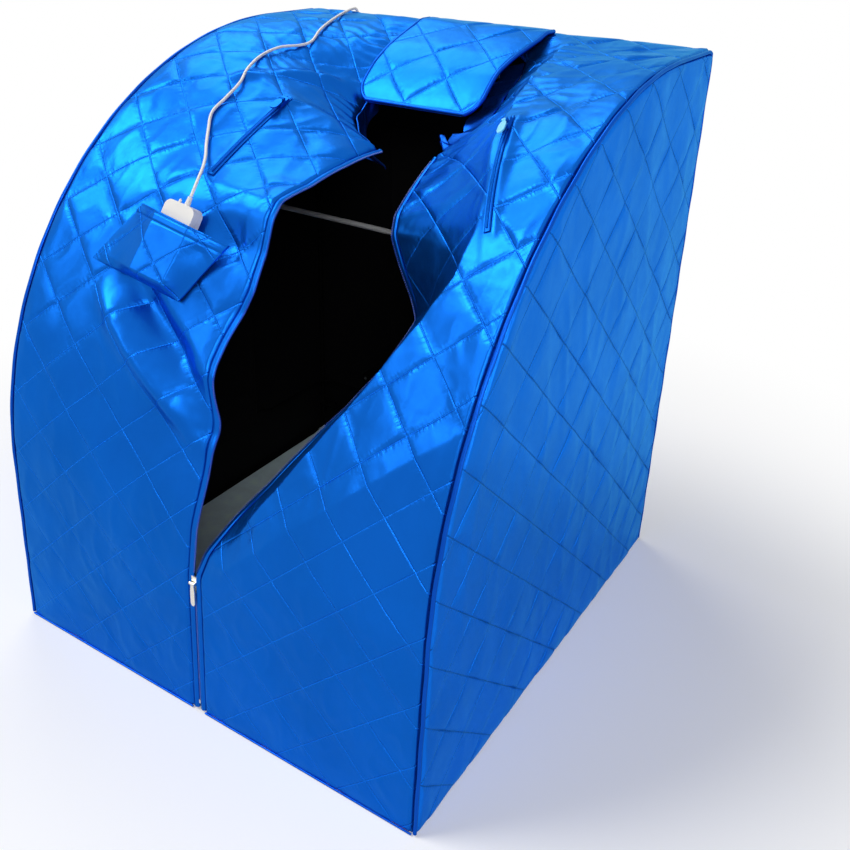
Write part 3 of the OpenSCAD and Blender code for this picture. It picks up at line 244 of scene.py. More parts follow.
def ripple(a, b, scale_a, scale_b, seed):
    """Smooth noise from -1 to 1 over flat cloth coordinates."""
    return np.array([noise.noise((x * scale_a, y * scale_b, seed)) for x, y in zip(a, b)])


def crease(a, b, scale_a, scale_b, seed):
    """Sharp-topped folds from 0 to 1."""
    return 1 - np.minimum(1, np.abs(ripple(a, b, scale_a, scale_b, seed)) * 3.2)


def rolled(d, r):
    """How far a cloth edge has rolled down at a distance d inside it."""
    return r - r * np.sqrt(1 - (1 - clamp(d / r)) ** 2)


def new_object(name, mesh, finishes):
    obj = bpy.data.objects.new(name, mesh)
    bpy.context.scene.collection.objects.link(obj)
    for finish in finishes:
        mesh.materials.append(finish)
    return obj


def mesh_of(bm, name):
    mesh = bpy.data.meshes.new(name)
    bm.to_mesh(mesh)
    bm.free()
    return mesh


# Edges over these angles, in degrees, stay sharp.
CLOTH_SHARP, CORD_SHARP = 60, 50


def clean(mesh, sharp, merge=False):
    """Turns the faces outward and shades them smooth but for edges over sharp degrees."""
    bm = bmesh.new()
    bm.from_mesh(mesh)
    if merge:
        bmesh.ops.remove_doubles(bm, verts=bm.verts, dist=1e-6)
    bmesh.ops.recalc_face_normals(bm, faces=bm.faces)
    bm.to_mesh(mesh)
    bm.free()
    mesh.polygons.foreach_set("use_smooth", np.ones(len(mesh.polygons), bool))
    mesh.set_sharp_from_angle(angle=math.radians(sharp))


def shell(name, cols, rows, face, back, finishes, uv=None, trim=None):
    """A closed cloth: a grid and its copy, placed by face(u, v) and back(u, v)."""
    bm = bmesh.new()
    bmesh.ops.create_grid(bm, x_segments=cols, y_segments=rows, size=0.5)
    bmesh.ops.translate(bm, verts=bm.verts, vec=(0.5, 0.5, 0))
    if trim:
        trim(bm)
    under = bm.faces[:]
    made = bmesh.ops.extrude_face_region(bm, geom=under, use_keep_orig=True)["geom"]
    bmesh.ops.reverse_faces(bm, faces=under)
    for f in under:
        f.material_index = len(finishes) - 1
    bm.verts.index_update()
    top = [g.index for g in made if isinstance(g, bmesh.types.BMVert)]
    mesh = mesh_of(bm, name)
    co = np.empty(len(mesh.vertices) * 3)
    mesh.vertices.foreach_get("co", co)
    u, v = co.reshape(-1, 3)[:, 0], co.reshape(-1, 3)[:, 1]
    is_top = np.zeros(len(u), bool)
    is_top[top] = True
    place = np.where(is_top[:, None], 0.0, back(u, v))
    place[is_top] = face(u[is_top], v[is_top])
    mesh.vertices.foreach_set("co", place.ravel())
    if uv:
        corner = np.empty(len(mesh.loops), int)
        mesh.loops.foreach_get("vertex_index", corner)
        a, b = uv(u, v)
        mesh.uv_layers.new(name="quilt").data.foreach_set("uv", np.stack([a[corner], b[corner]], 1).ravel())
    clean(mesh, CLOTH_SHARP)
    return new_object(name, mesh, finishes)


def tube(name, points, radius, finish, sides=12):
    """A round cord or piping through points, as a mesh."""
    curve = bpy.data.curves.new(name, "CURVE")
    curve.dimensions = "3D"
    curve.bevel_depth = radius
    curve.bevel_resolution = max(0, sides // 4 - 1)
    curve.use_fill_caps = True
    spline = curve.splines.new("POLY")
    spline.points.add(len(points) - 1)
    spline.points.foreach_set("co", np.c_[points, np.ones(len(points))].ravel())
    holder = bpy.data.objects.new(name + "_line", curve)
    bpy.context.scene.collection.objects.link(holder)
    mesh = bpy.data.meshes.new_from_object(holder.evaluated_get(bpy.context.evaluated_depsgraph_get()))
    bpy.data.objects.remove(holder)
    bpy.data.curves.remove(curve)
    mesh.name = name
    mesh.materials.clear()
    clean(mesh, CORD_SHARP, merge=True)
    return new_object(name, mesh, [finish])


def smooth_line(points, steps):
    """A curve through points, with steps between each two."""
    p = np.asarray(points, float)
    q = np.vstack([p[:1], p, p[-1:]])
    t = np.arange(steps)[:, None] / steps
    spans = [0.5 * (2 * b + (c - a) * t + (2 * a - 5 * b + 4 * c - d) * t ** 2
                    + (3 * b - a - 3 * c + d) * t ** 3) for a, b, c, d in zip(q, q[1:], q[2:], q[3:])]
    return np.vstack(spans + [p[-1:]])


def dress(obj, body, slot, *nodes):
    """Hangs a piece on its CAD body and hides the solids that it stands for; its slot is not used."""
    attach(obj, body)
    if nodes:
        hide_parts(*nodes)


def on_box(low, high, axis, u, v, level):
    """Points at a level of one axis of a box: u and v run along its other two."""
    point = np.zeros((len(u), 3))
    one, two = (k for k in range(3) if k != axis)
    point[:, one] = mix(low[one], high[one], u)
    point[:, two] = mix(low[two], high[two], v)
    point[:, axis] = level
    return point


def finish_nodes(finish, *names):
    """Gives CAD nodes that stay in view their finish."""
    for name in names:
        mesh = NODES[name].data
        mesh.materials.clear()
        mesh.materials.append(finish)


class Weave:
    """A node material under construction."""

    def __init__(self, name):
        self.material = bpy.data.materials.new(name)
        self.material.use_nodes = True
        self.tree = self.material.node_tree
        self.shader = self.tree.nodes["Principled BSDF"]
        self.coords = self.tree.nodes.new("ShaderNodeTexCoord")

    def put(self, node, socket, value):
        if isinstance(value, bpy.types.NodeSocket):
            self.tree.links.new(value, node.inputs[socket])
        else:
            node.inputs[socket].default_value = value

    def add(self, kind, out=0, settings=None, **sockets):
        node = self.tree.nodes.new("ShaderNode" + kind)
        for key, value in (settings or {}).items():
            setattr(node, key, value)
        for key, value in sockets.items():
            self.put(node, int(key[1:]) if key[0] == "_" else key.replace("_", " "), value)
        return node.outputs[out]

    def math(self, operation, a, b):
        return self.add("Math", settings={"operation": operation}, _0=a, _1=b)

    def object_noise(self, scale, detail=2.0, stretch=(1, 1, 1)):
        way = self.add("Mapping", Vector=self.coords.outputs["Object"], Scale=stretch)
        return self.add("TexNoise", Vector=way, Scale=scale, Detail=detail)

    def woven(self, ways, join, **sockets):
        """Two crossing sets of threads."""
        sets = [self.add("TexWave", settings={"bands_direction": way}, Vector=self.coords.outputs["Object"],
                         **sockets) for way in ways]
        return self.math(join, *sets)

    def ramp(self, value, low, high, to_low=0.0, to_high=1.0):
        return self.add("MapRange", settings={"interpolation_type": "SMOOTHSTEP"}, Value=value, From_Min=low,
                        From_Max=high, To_Min=to_low, To_Max=to_high)

    def blend(self, share, one, other):
        node = self.tree.nodes.new("ShaderNodeMix")
        node.data_type = "RGBA"
        self.put(node, 0, share)
        self.put(node, 6, one)
        self.put(node, 7, other)
        return node.outputs[2]

    def bump(self, height, distance, strength=1.0, under=None):
        node = self.tree.nodes.new("ShaderNodeBump")
        self.put(node, "Height", height)
        node.inputs["Distance"].default_value = distance
        node.inputs["Strength"].default_value = strength
        if under:
            self.put(node, "Normal", under)
        return node.outputs[0]

    def set(self, **sockets):
        for key, value in sockets.items():
            self.put(self.shader, key.replace("_", " "), value)
        return self.material


def rgba(colour, share=1.0):
    return (colour[0] * share, colour[1] * share, colour[2] * share, 1.0)


def satin(name, colour, stitched, thread_painted_light=1.5):
    """Coated satin cloth: fine weave, creases, and stitch lines where the cloth is quilted."""
    w = Weave(name)
    normal = w.bump(w.woven("XZ", "ADD", Scale=420.0, Distortion=1.5, Detail=1.0), 0.00006, 0.2)
    normal = w.bump(w.object_noise(22.0, 3.0, (1.0, 1.0, 0.6)), 0.0035, 0.32, normal)
    shade = w.blend(w.ramp(w.object_noise(7.0, 3.0), 0.3, 0.7), rgba(colour, 0.94), rgba(colour, 1.05))
    if stitched:
        both = w.add("SeparateXYZ", Vector=w.add("UVMap", settings={"uv_map": "quilt"})).node.outputs
        away = [w.math("PINGPONG", both[k], 0.5) for k in (0, 1)]
        nearest = w.math("MINIMUM", away[0], away[1])
        dashes = [w.ramp(w.math("PINGPONG", w.math("MULTIPLY", both[1 - k], 24.0), 0.5), 0.08, 0.16)
                  for k in (0, 1)]
        threads = [w.math("MULTIPLY", w.ramp(away[k], 0.007, 0.013, 1.0, 0.0), dashes[k]) for k in (0, 1)]
        sewn = w.math("MAXIMUM", threads[0], threads[1])
        puckers = [w.math("MULTIPLY", w.ramp(away[k], 0.0, 0.16, 1.0, 0.0), w.add(
            "TexNoise", Scale=1.0, Detail=2.0, Vector=w.add(
                "CombineXYZ", X=w.math("MULTIPLY", both[1 - k], 15.0), Y=w.math("MULTIPLY", both[k], 2.5),
                Z=7.0 * k))) for k in (0, 1)]
        normal = w.bump(w.math("ADD", puckers[0], puckers[1]), 0.0040, 0.30, normal)
        normal = w.bump(w.ramp(nearest, 0.0, 0.022), 0.0014, 0.8, normal)
        normal = w.bump(sewn, 0.0004, 0.6, normal)
        # Painted shade: the colour is darkened a little towards 45% along the stitch grooves.
        shade = w.blend(w.ramp(nearest, 0.0, 0.016, 0.18, 0.0), shade, rgba(colour, 0.45))
        # Painted light: the stitch threads are drawn 1.5 times lighter than the cloth on the front as a painted
        # highlight, and 0.5 times as painted shade on the sides.
        shade = w.blend(sewn, shade, rgba(colour, thread_painted_light))
    rough = w.ramp(w.object_noise(60.0, 3.0), 0.2, 0.8, 0.29, 0.36)
    return w.set(Base_Color=shade, Roughness=rough, Normal=normal, Metallic=0.85,
                 Specular_Tint=(0.0, 0.8, 1.0, 1.0))


def matt_cloth(name, colour, rough):
    """A plain woven backing cloth."""
    w = Weave(name)
    normal = w.bump(w.woven("YZ", "MULTIPLY", Scale=520.0, Distortion=0.6), 0.00012, 0.5)
    normal = w.bump(w.object_noise(14.0, 3.0), 0.004, 0.25, normal)
    shade = w.blend(w.object_noise(30.0, 4.0), rgba(colour, 0.8), rgba(colour, 1.2))
    return w.set(Base_Color=shade, Roughness=rough, Normal=normal, Specular_IOR_Level=0.12)


def moulded(name, colour, rough, grain=900.0, gloss=0.5):
    """Injection-moulded plastic with a fine spark grain."""
    w = Weave(name)
    normal = w.bump(w.object_noise(grain, 2.0), 0.00008, 0.35)
    shade = w.blend(w.object_noise(40.0, 3.0), rgba(colour, 0.95), rgba(colour, 1.03))
    spread = w.ramp(w.object_noise(120.0, 2.0), 0.3, 0.7, rough - 0.04, rough + 0.05)
    return w.set(Base_Color=shade, Roughness=spread, Normal=normal, Specular_IOR_Level=gloss)


def metal(name, colour, rough):
    """Plated or painted metal with a drawn grain."""
    w = Weave(name)
    drawn = w.object_noise(160.0, 2.0, (0.05, 1.0, 1.0))
    spread = w.ramp(drawn, 0.25, 0.75, rough - 0.06, rough + 0.08)
    shade = w.blend(w.object_noise(50.0, 3.0), rgba(colour, 0.9), rgba(colour, 1.05))
    return w.set(Base_Color=shade, Metallic=1.0, Roughness=spread, Normal=w.bump(drawn, 0.00005, 0.3))


FINISHES = {}
# Painted light: the side panels' satin is the same quilt cloth as the front, drawn 1.35 times lighter.
SIDE_PAINTED_LIGHT = 1.35


def finish(key):
    """The scene's one material of that name."""
    colours = bpy.context.scene.sauna_colours
    makers = {
        "quilt": lambda: satin("quilted_satin", colours.quilt, True),
        "side": lambda: satin("quilted_side_satin_painted_lighter", [SIDE_PAINTED_LIGHT * c for c in colours.quilt], True,
                              thread_painted_light=0.5),
        "trim": lambda: satin("trim_satin", colours.trim, False),
        "plain": lambda: satin("plain_satin", colours.quilt, False),
        "lining": lambda: matt_cloth("black_lining", colours.lining, 0.75),
        "heater": lambda: matt_cloth("heater_cloth", colours.heater, 0.85),
        "floor": lambda: matt_cloth("grey_floor_cloth_painted_light", colours.floor_cloth, 0.7),
        "white": lambda: moulded("white_plastic", colours.handset, 0.38),
        "cord": lambda: moulded("white_cord", colours.handset, 0.45, 500.0),
        "black": lambda: moulded("black_plastic", (0.002, 0.002, 0.0025), 0.8, gloss=0.05),
        "red": lambda: moulded("red_button", (0.55, 0.03, 0.025), 0.4),
        "grey": lambda: moulded("grey_button", (0.09, 0.10, 0.11), 0.45),
        "teeth": lambda: moulded("zip_teeth", colours.trim, 0.35),
        "tab": lambda: moulded("pull_tab", colours.tab, 0.35),
        "window": lambda: moulded("display_window", (0.006, 0.008, 0.012), 0.10, 60.0),
        "board": lambda: moulded("circuit_board", (0.02, 0.10, 0.04), 0.35),
        "rod": lambda: moulded("grey_rod", colours.rod, 0.42),
        "steel": lambda: metal("zinc_steel", (0.62, 0.63, 0.65), 0.32),
        "cream": lambda: metal("cream_metal", (0.80, 0.77, 0.68), 0.30),
    }
    if key not in FINISHES:
        FINISHES[key] = makers[key]()
    return FINISHES[key]


class QuiltSettings(bpy.types.PropertyGroup):
    """Sizes of the quilting."""

    diamond_w: FloatProperty(name="Diamond width", description="Width of a stitched diamond", default=0.110,
                             unit="LENGTH")
    diamond_h: FloatProperty(name="Diamond height", description="Height of a stitched diamond", default=0.104,
                             unit="LENGTH")
    puff: FloatProperty(name="Puff", description="Height of the padding above its stitches", default=0.0028,
                        unit="LENGTH")
    facet: FloatProperty(name="Lean", description="How unevenly the diamonds lie", default=0.006, unit="LENGTH")
    stitch_in: FloatProperty(name="Stitch depth", description="How far the stitches pull in", default=0.0018,
                             unit="LENGTH")
    gather: FloatProperty(name="Gathers", description="Height of the wrinkles at the neck", default=0.003,
                          unit="LENGTH")
    fineness: IntProperty(name="Grid", description="Columns of cloth over a front half", default=110, min=20)


class ColourSettings(bpy.types.PropertyGroup):
    """Colours of the cloth and the hardware."""

    quilt: FloatVectorProperty(name="Quilt", description="Outer satin", subtype="COLOR", size=3,
                               default=(0.004, 0.101, 0.50))
    trim: FloatVectorProperty(name="Trim", description="Piping, bindings and collars", subtype="COLOR", size=3,
                              default=(0.004, 0.065, 0.45))
    lining: FloatVectorProperty(name="Lining", description="Inside cloth", subtype="COLOR", size=3,
                                default=(0.002, 0.002, 0.003))
    heater: FloatVectorProperty(name="Heater", description="Heater panels", subtype="COLOR", size=3,
                                default=(0.003, 0.003, 0.004))
    # Painted light: the grey floor sheet's colour is lifted near white, standing in for light that barely
    # reaches inside the tent.
    floor_cloth: FloatVectorProperty(name="Floor sheet", description="Floor inside", subtype="COLOR", size=3,
                                     default=(0.75, 0.93, 0.99))
    handset: FloatVectorProperty(name="Handset", description="Handset, cord and gland", subtype="COLOR", size=3,
                                 default=(0.80, 0.785, 0.76))
    rod: FloatVectorProperty(name="Rods", description="Cross rods", subtype="COLOR", size=3,
                             default=(0.62, 0.62, 0.63))
    tab: FloatVectorProperty(name="Pull tab", description="Tab of the right arm zip", subtype="COLOR", size=3,
                             default=(0.14, 0.60, 0.92))
    stage: FloatVectorProperty(name="Stage", description="Floor under the tent", subtype="COLOR", size=3,
                               default=(0.96, 0.96, 0.96))


class CordSettings(bpy.types.PropertyGroup):
    """Sizes of the handset's cord."""

    diameter: FloatProperty(name="Diameter", description="Thickness of the cord", default=0.005, unit="LENGTH")
    steps: IntProperty(name="Steps", description="Rings between two points of the route", default=8, min=2)


# The cord's route: the points of its CAD solid, with straight leads at both ends.
RELIEF_TIP = np.array((-0.12884, -0.21954, 0.74943))
RELIEF_WAY = np.array((0.14274, 0.481451, 0.864772))
GLAND_TIP = np.array((-0.210, 0.4173, 0.177))
CORD_CLEAR, RELIEF_LEAD, GLAND_LEAD = 0.0006, 0.010, 0.016
CORD_ROUTE = [(-0.131, -0.200, 0.772), (-0.147, -0.174, 0.780), (-0.168, -0.146, 0.788),
              (-0.186, -0.125, 0.798), (-0.205, -0.100, 0.813), (-0.225, -0.069, 0.833),
              (-0.228, -0.035, 0.849), (-0.233, 0.005, 0.867), (-0.250, 0.044, 0.883),
              (-0.263, 0.094, 0.897), (-0.263, 0.141, 0.905), (-0.249, 0.177, 0.906),
              (-0.243, 0.202, 0.911), (-0.256, 0.244, 0.926), (-0.276, 0.315, 0.939),
              (-0.300, 0.396, 0.946), (-0.300, 0.411, 0.943), (-0.301, 0.416, 0.930),
              (-0.301, 0.416, 0.880), (-0.294, 0.416, 0.760), (-0.268, 0.416, 0.580),
              (-0.236, 0.416, 0.400), (-0.214, 0.416, 0.270)]

# The stage: the camera found from the photograph, in pixels, degrees and metres, and the lamps. KEY_SPREAD is
# in degrees. Each soft lamp has its place, aim, size and power.
FRAME_PX, FOCAL_PX, SHIFT_PX = 850, 961.8, -65.0
SENSOR = 36.0
CAMERA_TURN = (31.92, 25.843, 1.821)
CAMERA_AT = (0.8629, -1.1673, 1.1473)
KEY_POWER, KEY_SPREAD, KEY_FROM = 1.75, 28, (-0.58, -0.25, 0.775)
LAMPS = (("front_softbox", (1.7, -2.1, 2.3), (0, -0.2, 0.2), 1.2, 33.0),
         ("left_softbox", (-1.7, -2.3, 2.0), (0, 0, 0.5), 1.0, 9.0),
         ("top_softbox", (-1.6, 1.2, 3.1), (0, 0, 0.7), 1.4, 26.0),
         ("right_softbox", (2.8, -0.6, 0.9), (0.4, 0, 0.3), 1.2, 11.0))
WORLD_LEVEL = 0.14
GROUND_SIZE, GROUND_Z = 30.0, -0.0005
# The ground glows white past the shadow: from a least share near the tent to all of it farther off.
GLOW_NEAR, GLOW_FAR, GLOW_LEAST = 0.6, 1.5, 0.2


def seen_share(tree):
    """A socket that is 1 for what the camera sees straight, in gloss or through glass."""
    path = tree.nodes.new("ShaderNodeLightPath")
    share = path.outputs["Is Camera Ray"]
    for name in ("Is Glossy Ray", "Is Transmission Ray"):
        both = tree.nodes.new("ShaderNodeMath")
        both.operation = "MAXIMUM"
        tree.links.new(share, both.inputs[0])
        tree.links.new(path.outputs[name], both.inputs[1])
        share = both.outputs[0]
    return share


def new_lamp(name, kind, facing):
    """A lamp that shines from the way it faces."""
    obj = bpy.data.objects.new(name, bpy.data.lights.new(name, kind))
    bpy.context.scene.collection.objects.link(obj)
    obj.rotation_euler = Vector(facing).to_track_quat("Z", "Y").to_euler()
    return obj


class SAUNA_OT_stage(bpy.types.Operator):
    """Camera at the photograph's angle, pale floor and soft studio light"""

    bl_idname = "sauna.stage"
    bl_label = "Stage"

    def execute(self, context):
        scene = context.scene
        scene.view_settings.view_transform = "Standard"
        self.add_camera(scene)
        self.add_ground(scene.sauna_colours.stage)
        self.add_world(scene)
        key = new_lamp("key_softbox", "SUN", KEY_FROM)
        key.data.energy, key.data.angle = KEY_POWER, math.radians(KEY_SPREAD)
        for name, place, aim, size, power in LAMPS:
            lamp = new_lamp(name, "AREA", Vector(place) - Vector(aim))
            lamp.data.size, lamp.data.energy = size, power
            lamp.location = place
        return {"FINISHED"}

    def add_camera(self, scene):
        yaw, pitch, roll = (math.radians(a) for a in CAMERA_TURN)
        back = Vector((math.sin(yaw) * math.cos(pitch), -math.cos(yaw) * math.cos(pitch), math.sin(pitch)))
        side = (-back).cross(Vector((0, 0, 1))).normalized()
        up = side.cross(-back)
        right = math.cos(roll) * side + math.sin(roll) * up
        up = -math.sin(roll) * side + math.cos(roll) * up
        lens = bpy.data.cameras.new("camera")
        lens.sensor_fit, lens.sensor_width = "HORIZONTAL", SENSOR
        lens.lens = SENSOR * FOCAL_PX / FRAME_PX
        lens.shift_y = SHIFT_PX / FRAME_PX
        camera = bpy.data.objects.new("camera", lens)
        scene.collection.objects.link(camera)
        turned = Matrix((right, up, back)).transposed().to_4x4()
        camera.matrix_world = Matrix.Translation(CAMERA_AT) @ turned
        scene.camera = camera

    def add_ground(self, colour):
        bm = bmesh.new()
        bmesh.ops.create_grid(bm, x_segments=8, y_segments=8, size=GROUND_SIZE)
        bmesh.ops.translate(bm, verts=bm.verts, vec=(0, 0, GROUND_Z))
        mesh = mesh_of(bm, "ground")
        w = Weave("pale_ground")
        shade = w.blend(w.object_noise(0.6), rgba(colour, 0.985), rgba(colour))
        w.set(Base_Color=shade, Roughness=0.9, Specular_IOR_Level=0.1)
        glow = w.add("Emission", Color=(1, 1, 1, 1), Strength=1.0)
        away = w.add("VectorMath", out="Value", settings={"operation": "LENGTH"},
                     Vector=w.coords.outputs["Object"])
        share = w.math("MULTIPLY", seen_share(w.tree), w.ramp(away, GLOW_NEAR, GLOW_FAR, GLOW_LEAST, 1.0))
        lit = w.add("MixShader", _0=share, _1=w.shader.outputs[0], _2=glow)
        w.put(w.tree.nodes["Material Output"], "Surface", lit)
        new_object("ground", mesh, [w.material])

    def add_world(self, scene):
        scene.world = bpy.data.worlds.new("studio")
        scene.world.use_nodes = True
        tree = scene.world.node_tree
        background = tree.nodes["Background"]
        background.inputs["Color"].default_value = (1, 1, 1, 1)
        level = tree.nodes.new("ShaderNodeMapRange")
        level.inputs["To Min"].default_value = WORLD_LEVEL
        tree.links.new(seen_share(tree), level.inputs["Value"])
        tree.links.new(level.outputs[0], background.inputs["Strength"])


class SAUNA_OT_handset_cord(bpy.types.Operator):
    """White cord from the handset over the top and down the back into its gland"""

    bl_idname = "sauna.handset_cord"
    bl_label = "Handset cord"

    def execute(self, context):
        settings = context.scene.sauna_cord
        ends = [RELIEF_TIP + CORD_CLEAR * RELIEF_WAY, RELIEF_TIP + RELIEF_LEAD * RELIEF_WAY]
        leave = [GLAND_TIP + (0, 0, GLAND_LEAD), GLAND_TIP + (0, 0, CORD_CLEAR)]
        line = smooth_line(ends + [np.array(p) for p in CORD_ROUTE] + leave, settings.steps)
        cord = tube("handset_cord_flex", line, settings.diameter / 2, finish("cord"))
        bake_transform(cord)
        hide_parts("handset_cord")
        return {"FINISHED"}


SIDES = (("left", -1), ("right", 1))
FOOT_S = QUILT * math.cos(FRONT_ANGLE) + GAP
# Lattice shift and noise seed of each front half, and how many rows of cloth go to a column.
HALVES = {"left": ((0.68, 0.40), 2.0), "right": ((0.33, 0.38), 7.0)}
ROWS_PER_COLUMN = 3.64
# The padding is flatter low on the front, where the cloth is drawn tight.
TIGHT_S, TIGHT_FADE, TIGHT_PUFF = 0.4, 0.3, 0.5
# The hollow beside the pocket: its middle across and past the shut zip, its half width and its depth.
HOLLOW_X, HOLLOW_S, HOLLOW_HALF, HOLLOW_IN = -0.062, 0.510, 0.036, 0.013
# Crumples of the left half: both ends as across and past the shut zip, half width and height.
CRUMPLES = (((-0.245, 0.825), (-0.170, 0.940), 0.014, 0.006),
            ((-0.170, 0.940), (-0.120, 1.000), 0.012, 0.005))
CRUMPLE_PAST = 0.03


def hollow(x, s):
    """How far the left half's cloth hangs in beside the pocket."""
    return HOLLOW_IN * np.exp(-((x - HOLLOW_X) / HOLLOW_HALF) ** 2
                              - ((s - ZIP_SHUT - HOLLOW_S) / HOLLOW_HALF) ** 2)


def crumple_line(x, s, start, end, half):
    """A ridge from 0 to 1 along a line of the flat cloth that dies away past its ends."""
    way = np.subtract(end, start)
    size = math.hypot(*way)
    along = ((x - start[0]) * way[0] + (s - ZIP_SHUT - start[1]) * way[1]) / size
    across = ((s - ZIP_SHUT - start[1]) * way[0] - (x - start[0]) * way[1]) / size
    past = np.maximum(np.abs(along - size / 2) - size / 2, 0)
    return np.exp(-(across / half) ** 2 - (past / CRUMPLE_PAST) ** 2)


def hanging_crumples(x, s, edge, seed):
    """Crumples of the right half's cloth where it hangs by the opening."""
    share = clamp((s - ZIP_SHUT - 0.46) / 0.08) * clamp((ZIP_TOP + 0.02 - s) / 0.05)
    share *= np.exp(-np.abs(x - edge) / 0.07)
    return 0.005 * share * (crease(x, s, 9.0, 26.0, seed + 9.0) - 0.4)


def neck_wrinkles(x, s, edge, height, seed):
    """Gathers that run out from the edge of the neck opening."""
    along = clamp((s - ZIP_TOP + 0.03) / 0.05) * clamp((ZIP_TOP + 0.36 - s) / 0.05)
    away = np.abs(x - edge)
    wander = 2.6 * ripple(x, s, 14.0, 9.0, seed)
    wave = np.sin(2 * math.pi * s / 0.024 + wander * 2.4) + 0.6 * np.sin(2 * math.pi * s / 0.041 + wander)
    return height * along * np.exp(-away / 0.085) * wave * (0.6 + 0.6 * ripple(x, s, 9.0, 22.0, seed + 3.1))


class SAUNA_OT_front_halves(bpy.types.Operator):
    """Two quilted front halves that hang open round the zip and the neck"""

    bl_idname = "sauna.front_halves"
    bl_label = "Front halves"

    def execute(self, context):
        for side, (shift, seed) in HALVES.items():
            self.add_half(context.scene.sauna_quilt, side, shift, seed)
        return {"FINISHED"}

    def add_half(self, settings, side, shift, seed):
        left = side == "left"
        panel_edge = left_panel_edge if left else right_panel_edge
        cols, rows = settings.fineness, int(settings.fineness * ROWS_PER_COLUMN)

        def flat(u, v):
            s = mix(FOOT_S, S_ALL, v)
            ends = (-SEAM_X, panel_edge(s)) if left else (panel_edge(s), SEAM_X)
            return mix(*ends, u), s

        def coords(u, v):
            return lattice(*flat(u, v), settings, shift)

        def face(u, v):
            x, s = flat(u, v)
            edge = panel_edge(s)
            inside = np.minimum(np.abs(x - edge), SEAM_X - np.abs(x))
            inside = np.minimum(inside, np.minimum(s - FOOT_S, S_ALL - s))
            calm = clamp(inside / EDGE_CALM)
            n = pillow(*coords(u, v), settings) * mix(0.25, 1.0, calm)
            n = n * mix(TIGHT_PUFF, 1.0, clamp((s - TIGHT_S) / TIGHT_FADE))
            n += calm * 0.0022 * ripple(x, s, 13.0, 9.0, seed)
            n += calm * 0.0010 * crease(x, s, 24.0, 15.0, seed + 5.0)
            n += neck_wrinkles(x, s, edge, settings.gather, seed)
            if left:
                for start, end, half, height in CRUMPLES:
                    n += height * crumple_line(x, s, start, end, half)
                n -= hollow(x, s)
            else:
                n += hanging_crumples(x, s, edge, seed)
            return on_front(x, s, arm_welt(x, s, n) - rolled(inside, EDGE_ROLL))

        def back(u, v):
            x, s = flat(u, v)
            return on_front(x, s, -QUILT - (hollow(x, s) if left else 0))

        node = f"front_{side}_panel"
        panel = shell(node + "_quilt", cols, rows, face, back, [finish("quilt"), finish("lining")], coords)
        dress(panel, "cabin", "quilt_blue", node)


def profile_line(y, z, inset):
    """Distance along the straight front and distance inside it, drawn in by inset."""
    along = (y + DEPTH / 2) * math.cos(FRONT_ANGLE) + z * math.sin(FRONT_ANGLE)
    return along, (y + DEPTH / 2) * math.sin(FRONT_ANGLE) - z * math.cos(FRONT_ANGLE) - inset


def inside_profile(inset):
    """A trim that keeps the part of a unit grid inside the side profile and rounds its border to it."""
    r = ARC_R - inset
    top, rear = HEIGHT - inset, DEPTH / 2 - inset
    front = -DEPTH / 2

    def trim(bm):
        out = {}
        for v in bm.verts:
            y, z = place(v.co.x, v.co.y)
            along, gap = profile_line(y, z, inset)
            if along < STRAIGHT:
                if gap < 0:
                    out[v] = (y - gap / math.sin(FRONT_ANGLE), z)
            elif y < ARC_Y:
                reach = math.hypot(y - ARC_Y, z - ARC_Z)
                if reach > r:
                    out[v] = (ARC_Y + (y - ARC_Y) * r / reach, ARC_Z + (z - ARC_Z) * r / reach)
        waste = [f for f in bm.faces if all(v in out for v in f.verts)]
        for v, (y, z) in out.items():
            v.co.x = (y - front) / (rear - front)
            v.co.y = max(0.0, z / top)
        bmesh.ops.delete(bm, geom=waste, context="FACES")

    def place(u, v):
        return mix(front, rear, u), mix(0.0, top, v)

    return trim, place


def profile_inside(y, z, inset):
    """Distance inside the side profile drawn in by inset."""
    along, line = profile_line(y, z, inset)
    arc = ARC_R - inset - np.hypot(y - ARC_Y, z - ARC_Z)
    front = np.where(along < STRAIGHT, line, np.where(y < ARC_Y, arc, 1.0))
    return np.maximum(0, np.minimum(np.minimum(front, HEIGHT - inset - z), DEPTH / 2 - inset - y))


# Lattice shifts of the other quilted pieces.
SIDE_SHIFT, BACK_SHIFT, FLAP_SHIFT, POCKET_SHIFT = (0.22, 0.5), (0.0, 0.3), (0.35, 0.1), (0.25, 0.1)


class SAUNA_OT_side_panels(bpy.types.Operator):
    """Two upright quilted sides"""

    bl_idname = "sauna.side_panels"
    bl_label = "Side panels"

    def execute(self, context):
        for side, sign in SIDES:
            self.add_side(context.scene.sauna_quilt, side, sign)
        return {"FINISHED"}

    def add_side(self, settings, side, sign):
        trim, place = inside_profile(GROOVE)

        def coords(u, v):
            return lattice(*place(u, v), settings, SIDE_SHIFT)

        def face(u, v):
            y, z = place(u, v)
            inside = np.minimum(profile_inside(y, z, GROOVE), z)
            calm = clamp(inside / EDGE_CALM)
            n = pillow(*coords(u, v), settings) * mix(0.25, 0.6, calm)
            n += calm * 0.0035 * ripple(y, z, 9.0, 1.6, 31.0 + sign)
            n += calm * 0.0012 * crease(y, z, 16.0, 5.0, 37.0 + sign)
            n -= rolled(inside, EDGE_ROLL)
            return np.stack([sign * (WIDTH / 2 + n), y, z], -1)

        def back(u, v):
            y, z = place(u, v)
            return np.stack([np.full_like(y, sign * (WIDTH / 2 - QUILT)), y, z], -1)

        node = f"{side}_side_panel"
        panel = shell(node + "_quilt", 195, 222, face, back, [finish("side"), finish("lining")], coords, trim)
        dress(panel, "cabin", "quilt_blue", node)


